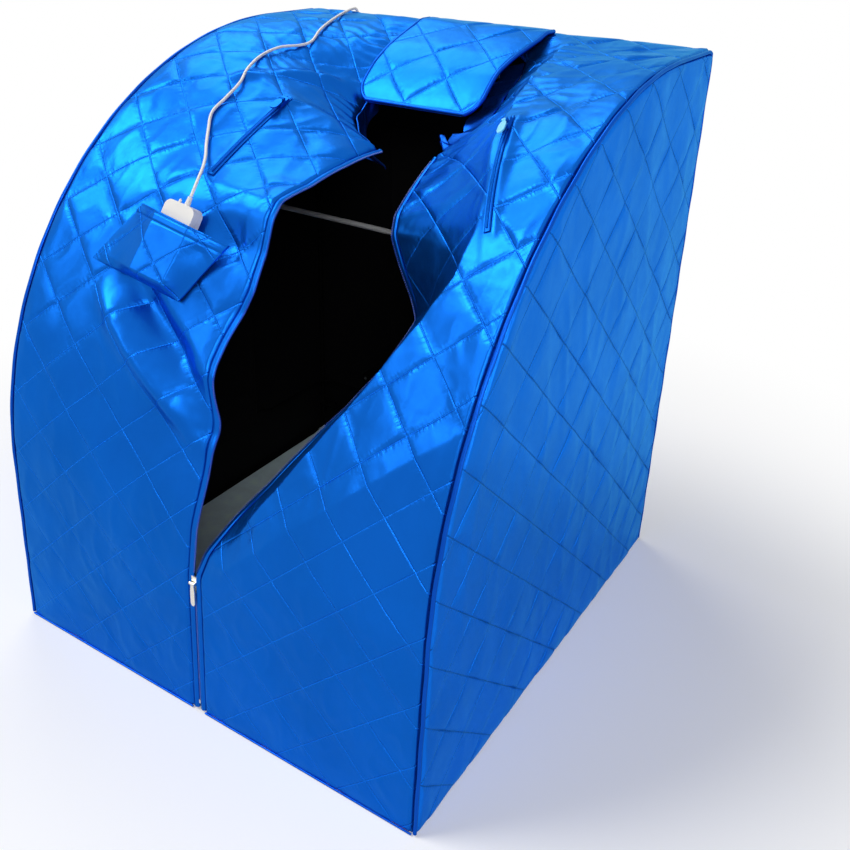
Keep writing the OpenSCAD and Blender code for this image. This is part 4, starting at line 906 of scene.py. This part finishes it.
class SAUNA_OT_back_panel(bpy.types.Operator):
    """Quilted back with an opening for the mains inlet"""

    bl_idname = "sauna.back_panel"
    bl_label = "Back panel"

    def execute(self, context):
        settings = context.scene.sauna_quilt
        low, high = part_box("back_panel")
        inlet_low, inlet_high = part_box("mains_inlet")
        flange, proud = 0.007, 0.001

        def place(u, v):
            return mix(high.x, low.x, u), mix(low.z, high.z, v)

        def in_inlet(face):
            centre = face.calc_center_median()
            x, z = place(centre.x, centre.y)
            return inlet_low.x + flange < x < inlet_high.x - flange and inlet_low.z < z < inlet_high.z

        def trim(bm):
            bmesh.ops.delete(bm, geom=[f for f in bm.faces if in_inlet(f)], context="FACES")

        def coords(u, v):
            return lattice(*place(u, v), settings, BACK_SHIFT)

        def face(u, v):
            x, z = place(u, v)
            inside = np.minimum(np.minimum(x - low.x, high.x - x), np.minimum(z - low.z, high.z - z))
            calm = clamp(inside / EDGE_CALM)
            n = pillow(*coords(u, v), settings) * mix(0.35, 1.0, calm)
            n += calm * 0.003 * ripple(x, z, 7.0, 2.0, 53.0)
            n = np.minimum(n, proud) - rolled(inside, EDGE_ROLL)
            return np.stack([x, high.y + n, z], -1)

        def back(u, v):
            x, z = place(u, v)
            return np.stack([x, np.full_like(x, low.y), z], -1)

        panel = shell("back_panel_quilt", 190, 224, face, back, [finish("quilt"), finish("lining")], coords,
                      trim)
        dress(panel, "cabin", "quilt_blue", "back_panel")
        return {"FINISHED"}


PIPING_STEP, PIPING_FOOT, PIPING_BEND = 0.012, 0.003, 0.012
HEM_R, HEM_Z, HEM_FROM, HEM_TO = 0.0016, 0.002, 0.013, WIDTH / 2 - 0.007


class SAUNA_OT_seam_piping(bpy.types.Operator):
    """Corded piping round both sides, and the corded hems at the foot of the front"""

    bl_idname = "sauna.seam_piping"
    bl_label = "Seam piping"

    def execute(self, context):
        corner = np.array((DEPTH / 2, HEIGHT)) - PIPING_R - PIPING_BEND
        turn = np.radians(np.linspace(90, 0, 9))[:, None]
        front = on_profile(0.0, np.arange(PIPING_FOOT, S_ARC, PIPING_STEP), -PIPING_R)[:, 1:]
        rear = np.column_stack([np.full(70, DEPTH / 2 - PIPING_R),
                                np.linspace(corner[1] - 0.004, PIPING_FOOT, 70)])
        run = np.vstack([front, corner + PIPING_BEND * np.hstack([np.cos(turn), np.sin(turn)]), rear])
        wander = 0.0004 * np.sin(np.arange(len(run)) * 0.9)
        for side, sign in SIDES:
            x = np.full(len(run), sign * (WIDTH / 2 - PIPING_R - 0.0002))
            line = np.column_stack([x + wander, run])
            piping = tube(f"{side}_seam_cord", line, PIPING_R, finish("trim"), 16)
            dress(piping, "cabin", "trim_blue", f"{side}_seam_piping")
            hem = np.linspace((sign * HEM_FROM, -DEPTH / 2, HEM_Z), (sign * HEM_TO, -DEPTH / 2, HEM_Z), 40)
            dress(tube(f"{side}_front_hem", hem, HEM_R, finish("trim"), 12), "cabin", "trim_blue")
        return {"FINISHED"}


LINING_INSET, LINING_T = 0.009, 0.0012
FLOOR_DROP = 0.0012


class SAUNA_OT_inside_cloth(bpy.types.Operator):
    """Black linings and the grey floor sheet, whose colour is lifted near white as painted light"""

    bl_idname = "sauna.inside_cloth"
    bl_label = "Linings and floor"

    def execute(self, context):
        for side, sign in SIDES:
            self.add_side_lining(side, sign)

        low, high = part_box("back_lining")
        lining = shell("back_lining_cloth", 60, 70, lambda u, v: on_box(low, high, 1, u, v, low.y),
                       lambda u, v: on_box(low, high, 1, u, v, high.y), [finish("lining")])
        dress(lining, "cabin", "lining_black", "back_lining")
        self.add_floor()
        return {"FINISHED"}

    def add_side_lining(self, side, sign):
        node = f"{side}_lining"
        low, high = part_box(node)
        trim, place = inside_profile(LINING_INSET)
        outer = max(abs(low.x), abs(high.x))

        def sheet_at(x, u, v):
            y, z = place(u, v)
            return np.stack([np.full_like(y, sign * x), y, np.maximum(z, low.z)], -1)

        lining = shell(node + "_cloth", 60, 68, lambda u, v: sheet_at(outer - LINING_T, u, v),
                       lambda u, v: sheet_at(outer, u, v), [finish("lining")], None, trim)
        dress(lining, "cabin", "lining_black", node)

    def add_floor(self):
        low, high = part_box("floor_sheet")

        def face(u, v):
            x, y = mix(low.x, high.x, u), mix(low.y, high.y, v)
            rest = clamp(np.minimum(np.minimum(u, 1 - u), np.minimum(v, 1 - v)) / 0.06)
            wave = 0.0010 * crease(x, y, 5.0, 7.0, 3.0) + 0.0008 * ripple(x, y, 9.0, 6.0, 8.0)
            return np.stack([x, y, high.z - FLOOR_DROP + rest * wave], -1)

        sheet = shell("floor_sheet_cloth", 90, 90, face, lambda u, v: on_box(low, high, 2, u, v, low.z),
                      [finish("floor")])
        dress(sheet, "cabin", "floor_grey", "floor_sheet")


# The heater pads' sewn border (its place, half width and depth), rolled edge, and low ribs inside the border.
BORDER_AT, BORDER_HALF, BORDER_IN, PAD_ROLL = 0.018, 0.003, 0.0012, 0.0028
RIB_H, RIB_STEP, RIB_FROM, RIB_FADE = 0.0005, 0.04, 0.022, 0.01


class SAUNA_OT_heaters(bpy.types.Operator):
    """Flat heater pads with sewn borders, and their leads"""

    bl_idname = "sauna.heaters"
    bl_label = "Heater panels"

    def execute(self, context):
        for node, axis in (("left_heater_panel", 0), ("right_heater_panel", 0), ("back_heater_panel", 1)):
            self.add_pad(node, axis)
        finish_nodes(finish("black"), "heater_leads")
        return {"FINISHED"}

    def add_pad(self, node, axis):
        low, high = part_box(node)
        outer, inner = (low[axis], high[axis]) if node.startswith("left") else (high[axis], low[axis])
        toward = math.copysign(1, inner - outer)
        width, height = high[1 - axis] - low[1 - axis], high.z - low.z

        def face(u, v):
            inside = np.minimum(np.minimum(u, 1 - u) * width, np.minimum(v, 1 - v) * height)
            border = np.exp(-((inside - BORDER_AT) / BORDER_HALF) ** 2)
            level = inner - toward * (rolled(inside, PAD_ROLL) + BORDER_IN * border)
            ribs = RIB_H * np.sin(2 * math.pi * v * height / RIB_STEP) * clamp((inside - RIB_FROM) / RIB_FADE)
            return on_box(low, high, axis, u, v, level + toward * ribs)

        pad = shell(node + "_pad", 80, 96, face, lambda u, v: on_box(low, high, axis, u, v, outer),
                    [finish("heater")])
        dress(pad, "cabin", "heater_black", node)


# The flap: its sewn edge and sizes, its rounded corners, and how it narrows and swings from its taper on.
FLAP_SEWN, FLAP_L, FLAP_W, FLAP_T = S_ALL - 0.008, 0.248, 0.250, 0.005
FLAP_CORNER, FLAP_NARROW, FLAP_SWING = 0.038, 0.008, -0.010
FLAP_CLEAR, FLAP_BINDING_R = 0.0006, 0.0036


def flap_taper(d):
    return clamp((d - 0.060) / 0.100)


def flap_half(d):
    """Half the flap's width at a distance d from its sewn edge."""
    bent = (d - FLAP_L + FLAP_CORNER) / (FLAP_CORNER + 0.002)
    curve = FLAP_CORNER * (1 - np.sqrt(np.maximum(0, 1 - bent ** 2)))
    return FLAP_W / 2 - FLAP_NARROW * flap_taper(d) - np.where(d < FLAP_L - FLAP_CORNER, 0, curve)


def flap_mid(d):
    """The flap's middle line swings to the left towards its free end."""
    return FLAP_SWING * flap_taper(d)


class SAUNA_OT_neck_flap(bpy.types.Operator):
    """Quilted neck flap with a bound edge"""

    bl_idname = "sauna.neck_flap"
    bl_label = "Neck flap"

    def execute(self, context):
        settings = context.scene.sauna_quilt

        def flat(u, v):
            d = FLAP_L * (1 - v)
            return flap_mid(d) + (2 * u - 1) * flap_half(d), FLAP_SEWN - d, d

        def point(x, s, n):
            return on_profile(x, s, n + FLAP_T + FLAP_CLEAR - flap_sag(s))

        def coords(u, v):
            x, s, _ = flat(u, v)
            return lattice(x, s, settings, FLAP_SHIFT)

        def face(u, v):
            x, s, d = flat(u, v)
            inside = np.minimum(flap_half(d) - np.abs(x - flap_mid(d)), FLAP_L - d)
            calm = clamp(inside / 0.025) * clamp(d / 0.02)
            n = pillow(*coords(u, v), settings) * mix(0.2, 0.9, calm)
            n += calm * 0.0012 * ripple(x, s, 14.0, 10.0, 71.0)
            return point(x, s, n - rolled(inside, 0.002))

        def back(u, v):
            x, s, _ = flat(u, v)
            return point(x, s, -FLAP_T)

        flap = shell("neck_flap_quilt", 90, 90, face, back, [finish("quilt"), finish("lining")], coords)
        dress(flap, "neck_flap", "quilt_blue", "neck_flap")

        d = np.linspace(0.004, FLAP_L - 0.002, 80)
        across = np.linspace(-1, 1, 40)[1:-1]
        end = np.stack([flap_mid(d[-1]) + across * flap_half(d[-1]), np.full(len(across), d[-1])], 1)
        edge = np.concatenate([np.stack([flap_mid(d) - flap_half(d), d], 1), end,
                               np.stack([flap_mid(d) + flap_half(d), d], 1)[::-1]])
        line = point(edge[:, 0], FLAP_SEWN - edge[:, 1], np.full(len(edge), -FLAP_T / 2))
        binding = tube("neck_flap_binding", line, FLAP_BINDING_R, finish("trim"), 12)
        dress(binding, "neck_flap", "trim_blue")
        return {"FINISHED"}


# The collars: side, sign, clearance, lean in degrees, pleats and cut length of each, and where they run.
COLLAR_T, COLLAR_H = 0.002, 0.042
COLLARS = (("left", -1, 0.0025, 0, 6, 0.33), ("right", 1, 0.0012, 65, 5, 0.31))
COLLAR_FROM, COLLAR_TO = ZIP_TOP + 0.014, ZIP_TOP + 0.300


def neck_point(sign, s):
    return on_front(left_neck_x(s) if sign < 0 else right_neck_x(s), s, 0)


class SAUNA_OT_neck_collars(bpy.types.Operator):
    """Gathered strips along the neck opening: the left one hangs, the right one leans in"""

    bl_idname = "sauna.neck_collars"
    bl_label = "Neck collars"

    def execute(self, context):
        for collar in COLLARS:
            self.add_collar(*collar)
        return {"FINISHED"}

    def add_collar(self, side, sign, clear, lean, pleats, cut):
        lean = math.radians(lean)

        def point(u, v, off):
            s = mix(COLLAR_FROM, COLLAR_TO, u)
            w = 1 - v
            ahead = neck_point(sign, s + 0.006) - neck_point(sign, s - 0.006)
            inward = np.stack([-sign * ahead[:, 1], sign * ahead[:, 0], np.zeros(len(u))], -1)
            inward /= np.linalg.norm(inward, axis=1)[:, None]
            phase = 2 * math.pi * pleats * u + 1.2 * np.sin(9 * u) + 0.5 * np.sin(23 * u + 4 * w)
            wave = 0.0034 * (0.3 + 0.9 * w) * (1 + np.sin(phase))
            wave += 0.0001 * pleats * w * (1 + np.sin(2.3 * phase + 1))
            reach = (COLLAR_H + 0.004 * np.sin(phase * 0.5 + 1)) * w
            tab = 0.026 * clamp((0.12 - u) / 0.10) * clamp((w - 0.45) / 0.5)
            down = inward * math.sin(lean) - np.array((0, 0, math.cos(lean)))
            out = inward * math.cos(lean) + np.array((0, 0, math.sin(lean)))
            start = neck_point(sign, s) - np.array((0, 0, 0.004)) + inward * clear
            return start + out * (wave + off + tab)[:, None] + down * reach[:, None]

        node = f"{side}_neck_collar"
        collar = shell(node + "_ruffle", 260, 16, lambda u, v: point(u, v, np.full_like(u, COLLAR_T)),
                       lambda u, v: point(u, v, np.zeros_like(u)), [finish("trim")])
        dress(collar, "cabin", "trim_blue", node)


def tooth(width, length, height):
    """One zip tooth, as a small bevelled block at the origin."""
    bm = bmesh.new()
    bmesh.ops.create_cube(bm, size=1.0)
    bmesh.ops.scale(bm, vec=(width, length, height), verts=bm.verts)
    bmesh.ops.bevel(bm, geom=bm.edges[:], offset=min(length, height) * 0.28, segments=1, profile=0.5,
                    affect="EDGES", material=-1)
    return mesh_of(bm, "tooth")


def row_of_teeth(name, places, size, finish_key):
    """Teeth in a row: each place is an origin with its across, along and out directions."""
    one = tooth(*size)
    bm = bmesh.new()
    for origin, across, along, out in places:
        start = len(bm.verts)
        bm.from_mesh(one)
        bm.verts.ensure_lookup_table()
        turn = Matrix((across, along, out)).transposed().to_4x4()
        bmesh.ops.transform(bm, matrix=Matrix.Translation(origin) @ turn, verts=bm.verts[start:])
    bpy.data.meshes.remove(one)
    return new_object(name, mesh_of(bm, name), [finish(finish_key)])


def frames_along(line, out):
    """Origin, across, along and out at each point of a line, from rough outward directions."""
    along = np.gradient(line, axis=0)
    along /= np.linalg.norm(along, axis=1)[:, None]
    across = np.cross(along, out)
    across /= np.linalg.norm(across, axis=1)[:, None]
    return [tuple(Vector(v) for v in row) for row in zip(line, across, along, np.cross(across, along))]


# The front zip: its tapes' thickness, middle level and foot, and each coil's tooth size and pitch.
TAPE_T = 0.002
TAPE_N = -(QUILT - TAPE_T) / 2
TAPE_FOOT = 0.004
COIL_TOOTH, COIL_PITCH = (0.0026, 0.0013, 0.0020), 0.0026
CHAIN_TOOTH, CHAIN_PITCH = (0.0029, 0.0012, 0.0020), 0.0015
CHAIN_FROM, CHAIN_TO = 0.0215, 0.2425


class SAUNA_OT_front_zip(bpy.types.Operator):
    """Bound zip tapes with their coils, the shut chain and the metal slider"""

    bl_idname = "sauna.front_zip"
    bl_label = "Front zip"

    def execute(self, context):
        self.add_tape("left", -1, left_zip_x)
        self.add_tape("right", 1, right_zip_x)

        s = np.arange(CHAIN_FROM, CHAIN_TO, CHAIN_PITCH)
        line = on_profile(0.0, s, np.full_like(s, TAPE_N - TAPE_T / 2))
        out = on_profile(0.0, s, np.full_like(s, 0.01)) - line
        chain = row_of_teeth("front_zip_shut_coil", frames_along(line, out), CHAIN_TOOTH, "teeth")
        dress(chain, "cabin", "trim_blue", "front_zip_chain")
        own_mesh(chain)
        finish_nodes(finish("steel"), "front_zip_stop")
        finish_nodes(finish("cream"), "front_zip_slider", "front_zip_pull")
        return {"FINISHED"}

    def add_tape(self, side, sign, zip_x):
        def place(u, v, n):
            s = mix(TAPE_FOOT, ZIP_TOP, v)
            return on_front(zip_x(s) + sign * TAPE_W * u, s, n)

        def face(u, v):
            roll = np.sqrt(np.maximum(0, 1 - (2 * u - 1) ** 2))
            stitch = 0.0007 * (np.exp(-((u - 0.22) / 0.07) ** 2) + np.exp(-((u - 0.8) / 0.07) ** 2))
            return place(u, v, TAPE_N - 0.0006 + 0.0036 * roll - stitch)

        node = f"front_zip_{side}_tape"
        tape = shell(node + "_binding", 10, 360, face,
                     lambda u, v: place(u, v, np.full_like(u, TAPE_N - TAPE_T)), [finish("plain")])
        dress(tape, "cabin", "trim_blue", node)

        s = np.arange(ZIP_SHUT + 0.006, ZIP_TOP - 0.004, COIL_PITCH)
        line = on_front(zip_x(s) - sign * 0.0006, s, np.full_like(s, TAPE_N))
        out = line - on_front(zip_x(s), s, np.full_like(s, TAPE_N - 0.01))
        teeth = row_of_teeth(f"front_zip_{side}_coil", frames_along(line, out), COIL_TOOTH, "teeth")
        dress(teeth, "cabin", "trim_blue")


# The arm zips: their tape, the tooth size and pitch of their coils, each one's side, place across, turn and
# lift, and the place of both along the front.
ARM_L, ARM_W, ARM_T = 0.220, 0.010, 0.0015
ARM_TOOTH, ARM_PITCH = (0.0034, 0.0013, 0.0014), 0.0018
ARM_ZIPS = (("left", -0.150, math.radians(4), 0.0018), ("right", 0.284, math.radians(18), 0.0035))
ARM_S = ZIP_SHUT + 0.700
# The cloth is drawn to a zip within a half width and past its ends, down or up by no more than these.
WELT_HALF, WELT_PAST, WELT_DOWN, WELT_UP = 0.012, 0.02, -0.002, 0.015


def arm_frame(x, turn, lift):
    """Across, up, out and origin of an arm zip, and the radius that it bends to."""
    across, up, out, origin = front_frame(x, ARM_S, turn, ARM_L / 2, lift)
    dx, ds = -math.sin(turn) * ARM_L / 2, math.cos(turn) * ARM_L / 2
    middle = (on_front(x + dx, ARM_S + ds, 0) + on_front(x - dx, ARM_S - ds, 0)) / 2
    return across, up, out, origin, ARM_L ** 2 / 8 / float((on_front(x, ARM_S, 0) - middle) @ out)


def arm_welt(x, s, n):
    """A cloth's height n, drawn to the arm zips."""
    for _, zip_x, turn, lift in ARM_ZIPS:
        across, up, out, origin, r = arm_frame(zip_x, turn, lift)
        away = on_front(x, s, 0) - origin
        gap = r - np.hypot(away @ up, away @ out + r) - 0.0004
        along = r * np.arctan2(away @ up, away @ out + r)
        near = clamp(1.5 * np.exp(-(away @ across / WELT_HALF) ** 2))
        near = near * clamp((ARM_L / 2 + WELT_PAST - np.abs(along)) / WELT_PAST)
        n = mix(n, np.clip(gap, WELT_DOWN, WELT_UP), near)
    return n


class SAUNA_OT_arm_zips(bpy.types.Operator):
    """Arm zips: tapes with coils, sliders and pulls, with a light tab on the right"""

    bl_idname = "sauna.arm_zips"
    bl_label = "Arm zips"

    def execute(self, context):
        for side, x, turn, lift in ARM_ZIPS:
            self.add_zip(side, *arm_frame(x, turn, lift))
            finish_nodes(finish("plain"), f"{side}_arm_zip_slider")
            finish_nodes(finish("tab" if side == "right" else "plain"), f"{side}_arm_zip_pull")
        return {"FINISHED"}

    def add_zip(self, side, across, up, out, origin, r):
        def bent(a, b, h):
            turn, lean = (b / r)[:, None], (r + h)[:, None]
            return origin + a[:, None] * across + lean * np.sin(turn) * up + (lean * np.cos(turn) - r) * out

        def level(u, v, h):
            return bent((u - 0.5) * ARM_W, (v - 0.5) * ARM_L, h)

        def face(u, v):
            return level(u, v, ARM_T - 0.0006 * np.exp(-((np.abs(u - 0.5) - 0.36) / 0.05) ** 2))

        node = f"{side}_arm_zip"
        tape = shell(node + "_tape", 22, 110, face, lambda u, v: level(u, v, np.zeros_like(u)),
                     [finish("plain")])
        dress(tape, "cabin", "trim_blue", node)

        along = np.arange(-ARM_L / 2 + 0.006, ARM_L / 2 - 0.005, ARM_PITCH)
        line = bent(np.zeros_like(along), along, np.full_like(along, ARM_T + 0.0009))
        coil = row_of_teeth(node + "_coil", frames_along(line, np.tile(out, (len(along), 1))), ARM_TOOTH,
                            "trim" if side == "left" else "plain")
        dress(coil, "cabin", "trim_blue")


# The pocket's place, turn and sizes, the handset's place in it, the flat of its bulge and its mouth's hem.
POCKET_X, POCKET_S, POCKET_TURN = -0.135, ZIP_SHUT + 0.450, math.radians(-8)
POCKET_W, POCKET_H, POCKET_T, POCKET_LIFT = 0.170, 0.106, 0.003, 0.006
HANDSET_OFF, POCKET_TOP, POCKET_FLAT = -0.011, 0.006 + 0.022 + 0.005, 0.031
HEM, HEM_STITCH = 0.015, 0.0155


def pocket_mid(b):
    """Middle of the pocket's cloth at a height b: its foot lies to the left of its mouth."""
    return -0.012 - 0.35 * (POCKET_H / 2 - b)


class SAUNA_OT_pocket(bpy.types.Operator):
    """Bulging pocket with a hemmed mouth"""

    bl_idname = "sauna.pocket"
    bl_label = "Handset pocket"

    def execute(self, context):
        settings = context.scene.sauna_quilt
        _, _, out, origin = front_frame(POCKET_X, POCKET_S, POCKET_TURN, POCKET_H / 2, 0)

        def flat(u, v):
            b = (v - 0.5) * POCKET_H
            a = pocket_mid(b) + (u - 0.5) * POCKET_W
            return a, b, (POCKET_X + a * math.cos(POCKET_TURN) - b * math.sin(POCKET_TURN),
                          POCKET_S + a * math.sin(POCKET_TURN) + b * math.cos(POCKET_TURN))

        def point(u, v, t):
            a, b, (x, s) = flat(u, v)
            side = np.where(a > HANDSET_OFF, 1, -1)
            run = POCKET_W / 2 - POCKET_FLAT + side * (pocket_mid(b) - HANDSET_OFF)
            way = clamp(1 - (np.abs(a - HANDSET_OFF) - POCKET_FLAT) / run) ** 1.3
            way = way * np.sqrt(clamp((b + POCKET_H / 2) / 0.014))
            base = on_front(x, s, POCKET_LIFT)
            low = (base - origin) @ out
            return base + out * (t + way * np.maximum(0, POCKET_TOP - low))[:, None]

        def coords(u, v):
            _, _, (x, s) = flat(u, v)
            return lattice(x, s, settings, POCKET_SHIFT)

        def face(u, v):
            a, b, _ = flat(u, v)
            inside = np.minimum(POCKET_W / 2 - np.abs(a - pocket_mid(b)), b + POCKET_H / 2)
            calm = clamp(inside / EDGE_CALM) * clamp((POCKET_H / 2 - 0.016 - b) / 0.01)
            puff = 0.5 * pillow(*coords(u, v), settings) + 0.0012 * ripple(a, b, 22.0, 16.0, 91.0)
            mouth = b - POCKET_H / 2
            n = POCKET_T + calm * puff + 0.0016 * clamp((mouth + HEM) / 0.002)
            n -= 0.0011 * np.exp(-((mouth + HEM_STITCH) / 0.0016) ** 2)
            n -= 0.0009 * np.exp(-((mouth + 0.004) / 0.0012) ** 2)
            return point(u, v, n)

        pocket = shell("handset_pocket_cloth", 120, 80, face, lambda u, v: point(u, v, np.zeros_like(u)),
                       [finish("quilt"), finish("trim")], coords)
        dress(pocket, "cabin", "quilt_blue", "handset_pocket")
        return {"FINISHED"}


class SAUNA_OT_handset(bpy.types.Operator):
    """Finishes of the handset and its buttons"""

    bl_idname = "sauna.handset"
    bl_label = "Handset"

    def execute(self, context):
        finish_nodes(finish("white"), "handset_front_shell", "handset_rear_shell", "handset_strain_relief",
                     "handset_hang_nub", "cord_gland")
        finish_nodes(finish("window"), "handset_display")
        finish_nodes(finish("board"), "handset_circuit_board", "power_circuit_board")
        finish_nodes(finish("steel"), "handset_screws", "power_box_screws", "cup_rivets")
        finish_nodes(finish("red"), "power_button")
        finish_nodes(finish("grey"), "warmer_button", "cooler_button")
        return {"FINISHED"}


class SAUNA_OT_frame_parts(bpy.types.Operator):
    """Finishes of the rods, hoops, cups and the power box"""

    bl_idname = "sauna.frame_parts"
    bl_label = "Frame and power box"

    def execute(self, context):
        finish_nodes(finish("rod"), "back_top_rod", "middle_rod")
        finish_nodes(finish("black"), "back_bottom_rod", "front_bottom_rod", "left_frame_hoop",
                     "right_frame_hoop", "rod_saddles", "middle_rod_cups", "power_box_case",
                     "power_box_cover", "mains_inlet")
        return {"FINISHED"}


PIECES = (SAUNA_OT_stage, SAUNA_OT_handset_cord, SAUNA_OT_front_halves, SAUNA_OT_side_panels,
          SAUNA_OT_back_panel, SAUNA_OT_seam_piping, SAUNA_OT_inside_cloth, SAUNA_OT_heaters,
          SAUNA_OT_neck_flap, SAUNA_OT_neck_collars, SAUNA_OT_front_zip, SAUNA_OT_arm_zips,
          SAUNA_OT_pocket, SAUNA_OT_handset, SAUNA_OT_frame_parts)


class SAUNA_PT_panel(bpy.types.Panel):
    """Sidebar list of the tent's settings and pieces"""

    bl_idname = "SAUNA_PT_panel"
    bl_label = "Sauna tent"
    bl_space_type = "VIEW_3D"
    bl_region_type = "UI"
    bl_category = "Sauna tent"

    def draw(self, context):
        for group in (context.scene.sauna_quilt, context.scene.sauna_colours, context.scene.sauna_cord):
            box = self.layout.box()
            for key in group.__annotations__:
                box.prop(group, key)
        for piece in PIECES:
            self.layout.operator(piece.bl_idname)


GROUPS = {"sauna_quilt": QuiltSettings, "sauna_colours": ColourSettings, "sauna_cord": CordSettings}
CLASSES = (*GROUPS.values(), *PIECES, SAUNA_PT_panel)


def register():
    for cls in CLASSES:
        bpy.utils.register_class(cls)
    for name, group in GROUPS.items():
        setattr(bpy.types.Scene, name, PointerProperty(type=group))


def unregister():
    for name in GROUPS:
        delattr(bpy.types.Scene, name)
    for cls in reversed(CLASSES):
        bpy.utils.unregister_class(cls)


def main():
    register()
    for piece in PIECES:
        getattr(bpy.ops.sauna, piece.bl_idname.split(".")[1])()


if __name__ == "__main__":
    main()
